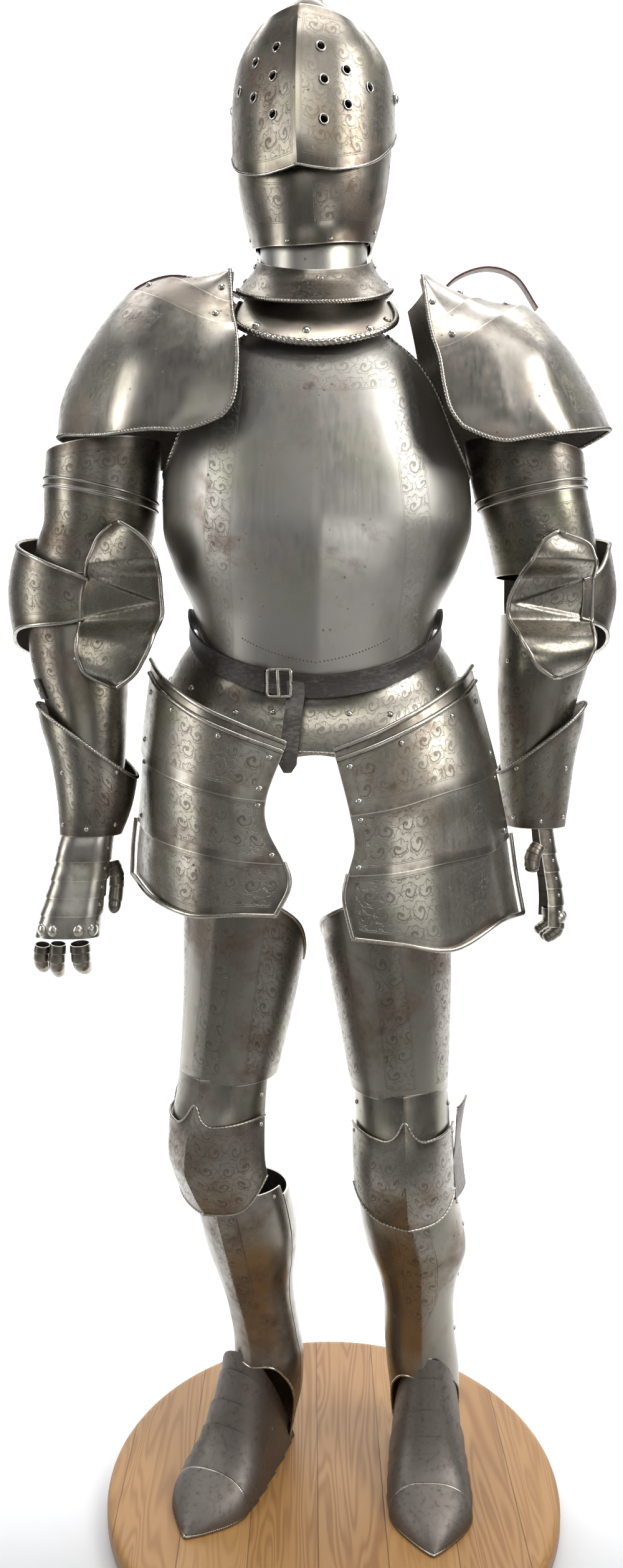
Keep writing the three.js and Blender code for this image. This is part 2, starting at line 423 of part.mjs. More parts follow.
// Upper arm, elbow, forearm, cuff. Columns: z, x, y, w, f, b.
const ARM = {
  R: [
    [1400, -284, 10, 70, 74, 76], [1360, -286, 12, 70, 75, 77], [1320, -290, 14, 70, 74, 76], [1289, -292, 15, 69, 73, 75],
    [1262, -300, 17, 71, 71, 75], [1220, -306, 18, 69, 68, 73],
  ],
  L: [
    [1400, 228, 10, 72, 72, 74], [1360, 236, 12, 71, 72, 74], [1320, 243, 14, 69, 71, 73], [1289, 252, 15, 67, 70, 72],
    [1262, 259, 17, 66, 69, 72], [1220, 266, 18, 64, 66, 70],
  ],
};
const ELBOW = {
  R: [[1290, -302, 22, 80, 84, 84], [1250, -310, 24, 90, 84, 92], [1200, -318, 26, 92, 82, 98], [1160, -318, 24, 88, 80, 92], [1120, -316, 20, 78, 76, 82]],
  L: [[1290, 257, 22, 78, 80, 84], [1250, 262, 24, 84, 82, 90], [1200, 266, 26, 88, 82, 96], [1160, 265, 24, 82, 80, 90], [1120, 262, 20, 74, 76, 80]],
};
const FOREARM = {
  R: [[1150, -320, 10, 63, 62, 64], [1100, -316, 0, 58, 56, 58], [1060, -307, -14, 49, 48, 49], [1015, -301, -28, 43, 42, 43], [975, -297, -37, 37, 36, 36], [940, -295, -43, 33, 32, 32]],
  L: [[1150, 268, 12, 60, 62, 64], [1100, 260, 10, 54, 56, 58], [1060, 255, 12, 48, 48, 49], [1015, 253, 16, 43, 42, 43], [975, 252, 20, 38, 36, 36], [940, 254, 22, 33, 32, 32]],
};
const CUFF = {
  R: [[1075, -304, -16, 64, 62, 66], [1043, -302, -22, 61, 58, 62], [1011, -298, -32, 54, 52, 53], [967, -293, -40, 49, 47, 46], [937, -294, -46, 44, 42, 40], [905, -299, -51, 37, 34, 32]],
  L: [[1075, 264, 14, 53, 58, 62], [1043, 262, 15, 53, 55, 58], [1011, 259, 18, 50, 50, 51], [975, 257, 20, 47, 46, 46], [937, 257, 21, 43, 41, 40], [899, 259, 22, 37, 35, 33]],
};
// Fan plate inside the elbow. Columns: height, edge nearest the body, outer edge, forward bulge.
const FAN = {
  R: [[1277, -250, -262, 0], [1266, -232, -276, 5], [1245, -212, -288, 9], [1218, -206, -299, 8], [1196, -205, -305, 3], [1176, -204, -306, 0],
    [1152, -210, -306, 4], [1120, -222, -304, 9], [1098, -238, -290, 6], [1087, -254, -266, 0]],
  L: [[1266, 254, 268, 0], [1257, 240, 292, 5], [1240, 229, 304, 9], [1214, 215, 309, 8], [1192, 205, 309, 3], [1176, 203, 309, 0],
    [1154, 209, 307, 4], [1126, 222, 301, 9], [1108, 236, 288, 6], [1098, 252, 264, 0]],
};
for (const S of ['R', 'L']) {
  const m = S === 'R' ? -1 : 1;          // outer side of this arm
  const s = net(PAULDRON[S]), flip = m;
  put(`pauldron_upper_${S}`, patch(s, { v: [0, 0.195], nu: 10, nv: 2, flip, off: -5.4 }));
  put(`pauldron_lame_${S}`, patch(s, { v: [0.18, 0.395], nu: 10, nv: 2, flip, off: -2 }));
  put(`pauldron_main_${S}`, patch(s, { v: [0.38, 1], nu: 10, nv: 4, flip, off: 1.4, thick: STEEL }));
  const arm = ring(ARM[S]), elbow = ring(ELBOW[S]), fore = ring(FOREARM[S]), cuff = ring(CUFF[S]);
  const whole = steps(-180, 144, 9);
  const tilt = (front, side) => steps(-180, 180, 12).map((a) => [a, front + side * Math.sin(a * RAD) * m]);
  put(`rerebrace_upper_${S}`, shell(arm, { A: whole, closed: true, T: tilt(1377, -8), B: tilt(1318, S === 'R' ? 14 : 12), rows: 2 }));
  put(`rerebrace_lower_${S}`, shell(arm, { A: whole, closed: true, T: tilt(1315, S === 'R' ? 14 : 12), B: tilt(1232, 0), rows: 2, off: -0.6 }));
  // couter: wraps the outside and back of the elbow, narrowing to the front
  const lip = S === 'R' ? -14 : 20, outer = m > 0 ? [lip, 205] : [-205, -lip];
  const A = steps(outer[0], outer[1], 8);
  const fr = (x) => (m > 0 ? x : -x);
  const T = [[lip, 1214], [lip + 14, 1222], [60, 1254], [90, 1266], [150, 1278], [205, 1268]].map(([a, z]) => [fr(a), z]);
  const B = [[lip, 1168], [lip + 14, 1164], [55, 1156], [90, 1136], [150, 1122], [205, 1130]].map(([a, z]) => [fr(a), z]);
  const root = S === 'R' ? -53 : -45, hem = [[1090, -74], [1145, -72], [1168, root], [1214, root], [1236, -68], [1280, -68]];
  const fan = wall(FAN[S].map(([z, a, b, h]) => [0, 0.4, 0.8, 1].map((t) => [
    mix(a, b, t), read(hem, z, 1) - 26 * (1 - t) ** 0.8 - h * Math.sin(Math.PI * Math.min(1, 0.3 + t * 0.7)), z])), { flip: m });
  put(`couter_${S}`, back(solid(shell(elbow, { A, T, B, rows: 3 })).add(solid(fan))));
  put(`vambrace_${S}`, shell(fore, { A: whole, closed: true, T: 1128, B: 948, rows: 3 }));
  put(`cuff_${S}`, shell(cuff, { A: whole, closed: true, T: tilt(1021, 45), B: 908, rows: 3 }));
}
// Hands. Each hand plate is a trough over the back of the hand; its open side is the palm.
// Columns: z, x, y, w half width across the knuckles, d depth of the trough.
const HAND = {
  R: { yaw: 0, rows: [[903, -303, -50, 32, 27], [872, -309, -52, 33, 24], [835, -317, -54, 35, 24], [800, -325, -55, 38, 25], [782, -328, -55, 39, 25]] },
  L: { yaw: -88, rows: [[903, 258, 18, 31, 22], [880, 261, 18, 33, 22], [850, 266, 18, 34, 23], [822, 270, 18, 36, 24], [805, 271, 18, 37, 24]] },
};
for (const S of ['R', 'L']) {
  const m = S === 'R' ? -1 : 1, H = HAND[S], q = H.yaw * RAD;
  const turn = (x, y) => [x * Math.cos(q) + y * Math.sin(q), -x * Math.sin(q) + y * Math.cos(q)];
  const place = (z, a, grow = 0) => {
    const [x, y, w, d] = [1, 2, 3, 4].map((c) => read(H.rows, z, c));
    const p = turn((w + grow) * Math.sign(a) * Math.abs(Math.sin(a * RAD)) ** 0.7, -(d + grow) * Math.abs(Math.cos(a * RAD)) ** 0.8);
    return [x + p[0], y + p[1], z];
  };
  put(`hand_plate_${S}`, wall(H.rows.map(([z]) => steps(-90, 90, 6).map((a) => place(z, a))), { thick: THIN }));
  // fingers and thumb: bent tubes, open at the knuckle
  const tubes = S === 'R'
    ? { finger_1: [[-357, -68, 774, 10], [-360, -64, 752, 9], [-360, -46, 738, 7]], finger_2: [[-337, -72, 776, 10.5], [-340, -69, 750, 9.5], [-341, -50, 732, 7]],
      finger_3: [[-311, -71, 776, 13], [-310, -68, 752, 11], [-308, -48, 737, 8]], thumb: [[-276, -34, 870, 9], [-270, -40, 848, 9.5], [-273, -50, 808, 8]] }
    : { finger_1: [[283, -8, 798, 9], [283, -8, 778, 8.5], [267, -8, 765, 7]], finger_2: [[286, 14, 798, 9], [285, 14, 776, 8.5], [267, 14, 762, 7]],
      finger_3: [[284, 39, 797, 11], [283, 39, 777, 9.5], [265, 39, 764, 7]], thumb: [[254, -27, 890, 9], [246, -31, 876, 10], [245, -33, 856, 8.5]] };
  for (const [name, line] of Object.entries(tubes)) {
    const P = line.map(([x, y, z, r], j) => {
      const a = line[Math.max(j - 1, 0)], b = line[Math.min(j + 1, line.length - 1)];
      const d = new THREE.Vector3(b[0] - a[0], b[1] - a[1], b[2] - a[2]).normalize();
      const e1 = new THREE.Vector3(0, 0, 1).cross(new THREE.Vector3(d.x, d.y, d.z)).length() < 1e-6 ? new THREE.Vector3(1, 0, 0) : new THREE.Vector3(1, 0, 0).addScaledVector(d, -d.x).normalize();
      const e2 = d.clone().cross(e1);
      return steps(0, 288, 4).map((t) => [x + r * (Math.cos(t * RAD) * e1.x + Math.sin(t * RAD) * e2.x), y + r * (Math.cos(t * RAD) * e1.y + Math.sin(t * RAD) * e2.y), z + r * (Math.cos(t * RAD) * e1.z + Math.sin(t * RAD) * e2.z)]);
    });
    // normals must point away from the tube's line
    put(`${name}_${S}`, wall(P, { closed: true, thick: 1.4, flip: -1 }));
  }
}

export default suit;
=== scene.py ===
"""A full suit of plate armour on a round wooden base: fine plates, borders, rivets and finishes."""
import json
import math

import bmesh
import bpy
import numpy as np
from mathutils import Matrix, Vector

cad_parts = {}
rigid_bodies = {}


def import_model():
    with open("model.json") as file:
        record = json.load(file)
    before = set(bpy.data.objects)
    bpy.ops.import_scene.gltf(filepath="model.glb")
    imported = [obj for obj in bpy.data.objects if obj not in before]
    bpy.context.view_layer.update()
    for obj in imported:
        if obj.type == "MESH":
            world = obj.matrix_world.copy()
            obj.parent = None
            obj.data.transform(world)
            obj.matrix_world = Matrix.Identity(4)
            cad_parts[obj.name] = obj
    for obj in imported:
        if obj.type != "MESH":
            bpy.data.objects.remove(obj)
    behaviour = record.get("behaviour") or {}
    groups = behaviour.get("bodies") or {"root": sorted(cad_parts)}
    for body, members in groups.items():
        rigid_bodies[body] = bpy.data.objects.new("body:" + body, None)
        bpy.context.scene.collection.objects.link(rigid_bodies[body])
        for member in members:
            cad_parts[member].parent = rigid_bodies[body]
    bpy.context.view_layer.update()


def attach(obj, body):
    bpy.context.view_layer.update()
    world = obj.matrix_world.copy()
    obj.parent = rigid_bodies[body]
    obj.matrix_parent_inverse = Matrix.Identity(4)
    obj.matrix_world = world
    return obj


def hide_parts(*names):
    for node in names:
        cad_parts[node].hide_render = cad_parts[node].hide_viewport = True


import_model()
MM = 0.001
RAD = math.pi / 180


# ------------------------------------------------------------------ nodes
class Sock:
    """A shader socket, so that sums are written as sums."""

    def __init__(self, tree, out):
        self.tree, self.out = tree, out

    def _math(self, op, a, b=None, c=None):
        return self.tree.node("ShaderNodeMath", {"operation": op},
            **{str(i): v for i, v in enumerate((a, b, c)) if v is not None})

    def __add__(self, o): return self._math("ADD", self, o)
    def __radd__(self, o): return self._math("ADD", o, self)
    def __sub__(self, o): return self._math("SUBTRACT", self, o)
    def __rsub__(self, o): return self._math("SUBTRACT", o, self)
    def __mul__(self, o): return self._math("MULTIPLY", self, o)
    def __rmul__(self, o): return self._math("MULTIPLY", o, self)
    def __truediv__(self, o): return self._math("DIVIDE", self, o)
    def __pow__(self, o): return self._math("POWER", self, o)
    def __neg__(self): return self._math("MULTIPLY", self, -1.0)
    def __lt__(self, o): return self._math("LESS_THAN", self, o)
    def __gt__(self, o): return self._math("GREATER_THAN", self, o)
    def __abs__(self): return self._math("ABSOLUTE", self)
    def floor(self): return self._math("FLOOR", self)
    def fract(self): return self._math("FRACT", self)
    def sqrt(self): return self._math("SQRT", self)
    def sin(self): return self._math("SINE", self)
    def mod(self, o): return self._math("FLOORED_MODULO", self, o)
    def min(self, o): return self._math("MINIMUM", self, o)
    def max(self, o): return self._math("MAXIMUM", self, o)
    def atan2(self, o): return self._math("ARCTAN2", self, o)

    def ramp(self, lo, hi, a=0.0, b=1.0):
        """a below lo, b above hi, smooth between."""
        return self.tree.node("ShaderNodeMapRange", {"interpolation_type": "SMOOTHSTEP"}, Value=self,
            **{"From Min": lo, "From Max": hi, "To Min": a, "To Max": b})


class Look:
    """A material made by node and expression."""

    def __init__(self, name, **fixed):
        self.mat = bpy.data.materials.new(name)
        self.mat.use_nodes = True
        self.nodes, self.links = self.mat.node_tree.nodes, self.mat.node_tree.links
        self.shader = next(n for n in self.nodes if n.type == "BSDF_PRINCIPLED")
        for k, v in fixed.items():
            self.shader.inputs[k.replace("_", " ")].default_value = v

    def node(self, kind, settings=None, out=0, **values):
        n = self.nodes.new(kind)
        for k, v in (settings or {}).items():
            setattr(n, k, v)
        for k, v in values.items():
            s = n.inputs[int(k)] if k.isdigit() else n.inputs[k.replace("_", " ")]
            if isinstance(v, Sock):
                self.links.new(v.out, s)
            else:
                s.default_value = v
        return Sock(self, n.outputs[out])

    def mix(self, a, b, f):
        colour = lambda v: v if isinstance(v, Sock) else (*v, 1)
        n = self.nodes.new("ShaderNodeMix")
        n.data_type = "RGBA"
        for i, v in ((0, f), (6, colour(a)), (7, colour(b))):
            if isinstance(v, Sock):
                self.links.new(v.out, n.inputs[i])
            else:
                n.inputs[i].default_value = v
        return Sock(self, n.outputs[2])

    def place(self, scale=(1, 1, 1), turn=(0, 0, 0)):
        """Object coordinates, stretched and turned."""
        at = self.node("ShaderNodeTexCoord", out=3)
        return self.node("ShaderNodeMapping", Vector=at, Scale=scale, Rotation=turn)

    def noise(self, at, scale, detail=3.0, rough=0.5, warp=0.0):
        return self.node("ShaderNodeTexNoise", Vector=at, Scale=scale, Detail=detail, Roughness=rough,
            Distortion=warp)

    def value(self, name):
        return self.node("ShaderNodeAttribute", {"attribute_name": name}, out=2)

    def parts(self, vector):
        n = self.nodes.new("ShaderNodeSeparateXYZ")
        self.links.new(vector.out, n.inputs[0])
        return [Sock(self, o) for o in n.outputs]

    def give(self, **sockets):
        for k, v in sockets.items():
            self.links.new(v.out, self.shader.inputs[k.replace("_", " ")])
        return self.mat


# ------------------------------------------------------------------ finishes
def scroll_lines(m, size):
    """Cut leaf scrolls: 1 on a line, in cells of `size` millimetres of the plate's own map."""
    at = m.node("ShaderNodeUVMap", {"uv_map": "plate"})
    wob = m.node("ShaderNodeTexNoise", out=1, Vector=at, Scale=1100 / size, Detail=1.0)
    at = m.node("ShaderNodeVectorMath", {"operation": "MULTIPLY_ADD"},
        **{"0": wob, "1": (0.45 * size * MM,) * 3, "2": at})
    u, v, _ = m.parts(at)
    x, y = u / (size * MM), v / (size * MM)
    x = x + y.floor().mod(2.0) * 0.5
    fx, fy = x.fract() - 0.5, y.fract() - 0.5
    hand = 1 - (x.floor() + y.floor()).mod(2.0) * 2
    fx = fx * hand
    r = (fx * fx + fy * fy).sqrt()
    turn = fy.atan2(fx) / (2 * math.pi)
    coil = (abs((turn + (r ** 0.6) * 2.6).fract() - 0.5) * r * 7.0) < 0.20
    coil = coil * (r < 0.40)
    lobe = abs((turn * 7.0 + r * 2.0).fract() - 0.5)
    leaf = abs(r - (0.50 - lobe * 0.22)) < 0.016
    vein = (lobe < 0.045) * (r > 0.26) * (r < 0.47)
    return coil.max(leaf).max(vein)


def plate_steel(name, tone=(0.43, 0.405, 0.35), patina=(0.235, 0.18, 0.13), dull=0.30, brown=0.5, size=24.0,
        cut=0.42, metal=1.0):
    """Old polished steel. `brown` is how far the patina spreads and `cut` how deep the scrolls look."""
    m = Look(name, Metallic=metal)
    at = m.place()
    cloud, grain = m.noise(at, 7.5, 5.0, 0.62, 0.6), m.noise(at, 42.0, 5.0, 0.65)
    stain = (cloud * 0.72 + grain * 0.28).ramp(0.60 - 0.22 * brown, 0.72 - 0.12 * brown)
    olive = m.noise(m.place((1.0, 1.0, 1.6), (0.3, 0.7, 0.2)), 11.0, 3.0, 0.5).ramp(0.5, 0.7)
    colour = m.mix(tone, tuple(c * f for c, f in zip(tone, (0.93, 0.95, 0.86))), olive)
    colour = m.mix(colour, patina, stain * 0.8)
    rim, panel = m.value("rim"), m.value("panel")
    # Painted shade: darker from about 1 to 15 mm in from every plate edge, broken up by the grain.
    painted_edge_shade = rim.ramp(2.0, 15.0, 1.0, 0.0) * rim.ramp(0.6, 1.6) * grain.ramp(0.35, 0.62)
    colour = m.mix(colour, tuple(c * 0.55 for c in patina), painted_edge_shade * 0.55)
    pits = m.node("ShaderNodeTexVoronoi", Vector=at, Scale=95.0, Randomness=1.0).ramp(0.10, 0.2, 1.0,
        0.0) * grain.ramp(0.50, 0.62)
    spots = m.node("ShaderNodeTexVoronoi", Vector=at, Scale=21.0, Randomness=1.0).ramp(0.03, 0.20, 1.0,
        0.0) * cloud.ramp(0.5, 0.62)
    colour = m.mix(colour, (0.09, 0.055, 0.035), (pits * 0.45).max(spots * 0.5))
    inside = panel > 2.6
    frames = (abs(panel - 0.5) < 0.32).max(abs(panel - 2.2) < 0.30)
    lines = (scroll_lines(m, size) * inside).max(frames) * (panel > -2.0)
    colour = m.mix(colour, tuple(c * 0.30 for c in patina), lines * cut * grain.ramp(0.25, 0.5, 0.55, 1.0))
    # Painted highlight: a light line along the outermost 1.3 mm of every plate edge.
    bright = rim.ramp(0.5, 1.3, 1.0, 0.0)
    colour = m.mix(colour, (0.62, 0.59, 0.53), bright * 0.7)
    rub = m.noise(m.place((1.0, 1.0, 0.10), (0.0, 0.15, 0.4)), 240.0, 3.0, 0.6)
    rough = dull + stain * 0.14 + (rub - 0.5) * 0.16 + (grain - 0.5) * 0.10
    rough = rough + lines * 0.10 + pits * 0.2 + inside * (panel > 0) * 0.03
    dents = m.noise(at, 16.0, 2.0, 0.4)
    height = dents * 1.2 + rub * 0.02 + grain * 0.10 - pits * 0.10 - lines * 0.14
    normal = m.node("ShaderNodeBump", Strength=0.55, Distance=0.0016, Height=height)
    return m.give(Base_Color=colour, Roughness=rough.max(0.14).min(0.8), Normal=normal)


def plain_steel(name, tone, dull, dark=(0.10, 0.08, 0.06)):
    """Rivets, borders and the insides of plates, with dirt in the hollows of the grain."""
    m = Look(name, Metallic=1.0)
    at = m.place()
    grain = m.noise(at, 160.0, 4.0, 0.6)
    cloud = m.noise(at, 22.0, 3.0)
    colour = m.mix(tone, dark, grain.ramp(0.52, 0.70) * 0.45 + cloud.ramp(0.52, 0.7) * 0.25)
    normal = m.node("ShaderNodeBump", Strength=0.3, Distance=0.0004, Height=grain)
    return m.give(Base_Color=colour, Roughness=(dull + (grain - 0.5) * 0.3).max(0.12), Normal=normal)


def dark_leather(name, tone=(0.060, 0.042, 0.034), worn=(0.17, 0.115, 0.085)):
    m = Look(name)
    at = m.place()
    pores = m.node("ShaderNodeTexVoronoi", Vector=at, Scale=900.0)
    creases, cloud = m.noise(m.place((1, 1, 2.5)), 130.0, 4.0, 0.6), m.noise(at, 30.0, 3.0)
    colour = m.mix(tone, worn, (creases * 0.6 + cloud * 0.4).ramp(0.46, 0.66))
    normal = m.node("ShaderNodeBump", Strength=0.5, Distance=0.0005, Height=creases + pores * 0.5)
    return m.give(Base_Color=colour, Roughness=0.52 + (creases - 0.5) * 0.5, Normal=normal)


def pine_boards(name):
    """Varnished pine boards, glued edge to edge, with the grain from front to back."""
    m = Look(name, Coat_Roughness=0.16)
    x, y, z = m.parts(m.place())
    board = ((x + 0.021) / 0.086).floor()
    seed = (board * 12.9898).sin() * 43758.5
    seed = seed.fract()
    gap = abs(((x + 0.021) / 0.086).fract() - 0.5).ramp(0.488, 0.4975)
    at = m.node("ShaderNodeCombineXYZ", X=x * 9.0 + seed * 7.0, Y=y * 0.8 + seed * 31.0, Z=z * 9.0 + seed * 3.0)
    sway = m.noise(at, 1.5, 2.0, 0.5)
    rings = m.node("ShaderNodeTexNoise", Vector=at, Scale=2.4, Detail=2.0, Distortion=0.5)
    rings = ((rings * 15.0 + sway * 4.0).fract() - 0.5)
    rings = abs(rings).ramp(0.08, 0.5)
    fine = m.noise(m.place((1.0, 0.04, 1.0)), 900.0, 3.0, 0.6)
    colour = m.mix((0.36, 0.185, 0.055), (0.235, 0.100, 0.024), rings * 0.75)
    colour = m.mix(colour, (0.44, 0.245, 0.082), seed * 0.45)
    colour = m.mix(colour, (0.33, 0.165, 0.055), fine.ramp(0.5, 0.75) * 0.35)
    knots = m.node("ShaderNodeTexVoronoi", Vector=m.place((1.0, 0.55, 0.5)), Scale=8.5)
    colour = m.mix(colour, (0.16, 0.065, 0.022), knots.ramp(0.03, 0.10, 1.0, 0.0) * m.noise(m.place(),
        4.0).ramp(0.46, 0.52))
    # Painted shade: faces that turn away from upward, the sides of the base, are darker than its top.
    side = m.node("ShaderNodeNewGeometry", out=1)
    up = m.parts(side)[2]
    colour = m.mix(colour, (0.26, 0.125, 0.04), up.ramp(0.35, 0.92, 0.55, 0.0))
    colour = m.mix(colour, (0.10, 0.045, 0.015), gap * 0.75)
    normal = m.node("ShaderNodeBump", Strength=0.35, Distance=0.0006,
        Height=rings * 0.5 + fine * 0.5 - gap * 3.0)
    return m.give(Base_Color=colour, Roughness=0.30 + fine * 0.25 + rings * 0.06, Normal=normal)


STEEL = plate_steel("polished steel", tone=(0.32, 0.30, 0.255), patina=(0.19, 0.145, 0.105))
LEG_STEEL = plate_steel("leg steel", tone=(0.28, 0.26, 0.22), patina=(0.17, 0.13, 0.095), brown=0.55)
CHEST = plate_steel("chest steel", tone=(0.46, 0.44, 0.40), patina=(0.29, 0.235, 0.19), brown=0.45, cut=0.30,
    dull=0.40)
ARM_STEEL = plate_steel("arm steel", tone=(0.27, 0.25, 0.21), patina=(0.16, 0.12, 0.09), brown=0.62, size=22.0)
SHOULDER = plate_steel("shoulder steel", tone=(0.42, 0.39, 0.345), patina=(0.27, 0.215, 0.17), brown=0.55,
    size=26.0, cut=0.28)
HAND_STEEL = plate_steel("glove steel", tone=(0.52, 0.49, 0.44), patina=(0.30, 0.25, 0.20), brown=0.4,
    size=20.0)
HELM_STEEL = plate_steel("helmet steel", tone=(0.27, 0.245, 0.205), patina=(0.155, 0.115, 0.085), brown=0.72,
    size=23.0, cut=0.32)
BROWNED = plate_steel("browned steel", tone=(0.46, 0.41, 0.35), patina=(0.27, 0.20, 0.15), brown=0.75,
    dull=0.34, size=19.0)
BRIGHT = plain_steel("bright steel", (0.56, 0.53, 0.48), 0.26)
BORDER = plain_steel("border steel", (0.46, 0.43, 0.375), 0.30)
INNER = plain_steel("inside of plates", (0.20, 0.18, 0.16), 0.55)
LEATHER = dark_leather("dark leather", (0.040, 0.034, 0.029), (0.115, 0.098, 0.083))
RED_LEATHER = dark_leather("red leather", (0.085, 0.024, 0.021), (0.16, 0.055, 0.045))
PINE = pine_boards("pine boards")


# ------------------------------------------------------------------ tables and surfaces, in millimetres
def read(table, key, col):
    """Smooth reading of a table whose first column is the key; it never overshoots a peak."""
    t = np.array(sorted([float(x) for x in r] for r in table))
    k, v = t[:, 0], t[:, col]
    key = np.clip(np.asarray(key, float), k[0], k[-1])
    h, s = np.diff(k), np.diff(v) / np.diff(k)
    m = np.empty(len(k)); m[0], m[-1] = s[0], s[-1]
    m[1:-1] = np.where(s[:-1] * s[1:] <= 0, 0, (s[:-1] * h[1:] + s[1:] * h[:-1]) / (h[:-1] + h[1:]))
    i = np.clip(np.searchsorted(k, key, side="left") - 1, 0, len(k) - 2)
    q = (key - k[i]) / h[i]
    return ((2 * q ** 3 - 3 * q ** 2 + 1) * v[i] + (q ** 3 - 2 * q ** 2 + q) * m[i] * h[i]
            + (-2 * q ** 3 + 3 * q ** 2) * v[i + 1] + (q ** 3 - q ** 2) * m[i + 1] * h[i])


def edge(table):
    return (lambda a: np.zeros_like(np.asarray(a, float)) + table) if isinstance(table,
        (int, float)) else (lambda a: read(table, a, 1))


def around_front(a):
    """Angle from the front, -180 to 180."""
    return (np.asarray(a, float) + 540) % 360 - 180


def ring(table, yaw=0, ridge=26, square=2, lift=None):
    """Horizontal ovals. Columns: z, x, y, half width, reach to the front, reach to the back, front ridge."""
    c0, s0, e, cols = math.cos(yaw * RAD), math.sin(yaw * RAD), 2 / square, len(table[0])

    def at(a, z):
        a, z = np.broadcast_arrays(np.asarray(a, float), np.asarray(z, float))
        x, y, w, f, b, k = [read(table, z, c) if c < cols else 0 * z for c in range(1, 7)]
        s, c = np.sin(a * RAD), np.cos(a * RAD)
        near = np.maximum(0, 1 - np.abs(around_front(a)) / ridge)
        px = w * np.sign(s) * np.abs(s) ** e
        py = -np.where(c > 0, f, b) * np.sign(c) * np.abs(c) ** e - k * near * near
        return np.stack([x + px * c0 + py * s0, y - px * s0 + py * c0, z + (lift(a) if lift else 0)], -1)
    return at


def along(rows, t):
    """Points at t, 0 to 1, of a smooth line through the rows (first axis)."""
    rows = np.asarray(rows, float)
    n = len(rows) - 1
    x = np.clip(np.asarray(t, float), 0, 1) * n
    i = np.minimum(x.astype(int), n - 1)
    ends = np.concatenate([[2 * rows[0] - rows[1]], rows, [2 * rows[-1] - rows[-2]]])
    p, q, r, s = ends[i], ends[i + 1], ends[i + 2], ends[i + 3]
    t = (x - i).reshape(-1, *[1] * (rows.ndim - 1))
    return 0.5 * (2 * q + (r - p) * t + (2 * p - 5 * q + 4 * r - s) * t ** 2 + (3 * q - p - 3 * r + s) * t ** 3)


def net(table, u, v):
    """Grid of points, rows at v and columns at u, of a net of table points."""
    down = along(np.asarray(table, float), v)
    return np.stack([along(row, u) for row in down])


def rounded_net(table, u, v, turn=0.0):
    """A net whose lower corners are rounded: the rows end sooner near both ends of a row."""
    cols = along(np.asarray(table, float).swapaxes(0, 1), u)
    short = 1 - turn * (np.maximum(0, 1 - np.minimum(u, 1 - u) / 0.15) ** 2.4)
    return np.stack([along(c, v * s) for c, s in zip(cols, short)], 1)


def cut(surface, A, T, B, rows, side=None):
    """Grid of a plate cut from a ring surface, over the angles A from edge T down to edge B."""
    top, low, half = edge(T), edge(B), A[-1]
    out = []
    for v in np.linspace(0, 1, rows + 1):
        a = A if side is None else A / half * read(side, top(0) + (low(0) - top(0)) * v, 1)
        t, b = top(a), low(a)
        out.append(surface(a, t + (b - t) * v))
    return np.stack(out)


# ------------------------------------------------------------------ plates
def normals(P, closed, flip=1, pole=False):
    left = np.roll(P, 1, 1) if closed else np.concatenate([P[:, :1], P[:, :-1]], 1)
    right = np.roll(P, -1, 1) if closed else np.concatenate([P[:, 1:], P[:, -1:]], 1)
    N = np.cross(np.concatenate([P[1:], P[-1:]]) - np.concatenate([P[:1], P[:-1]]), right - left) * flip
    N /= np.maximum(np.linalg.norm(N, axis=2, keepdims=True), 1e-9)
    if pole:
        N[0] = (0, 0, 1)
    return N


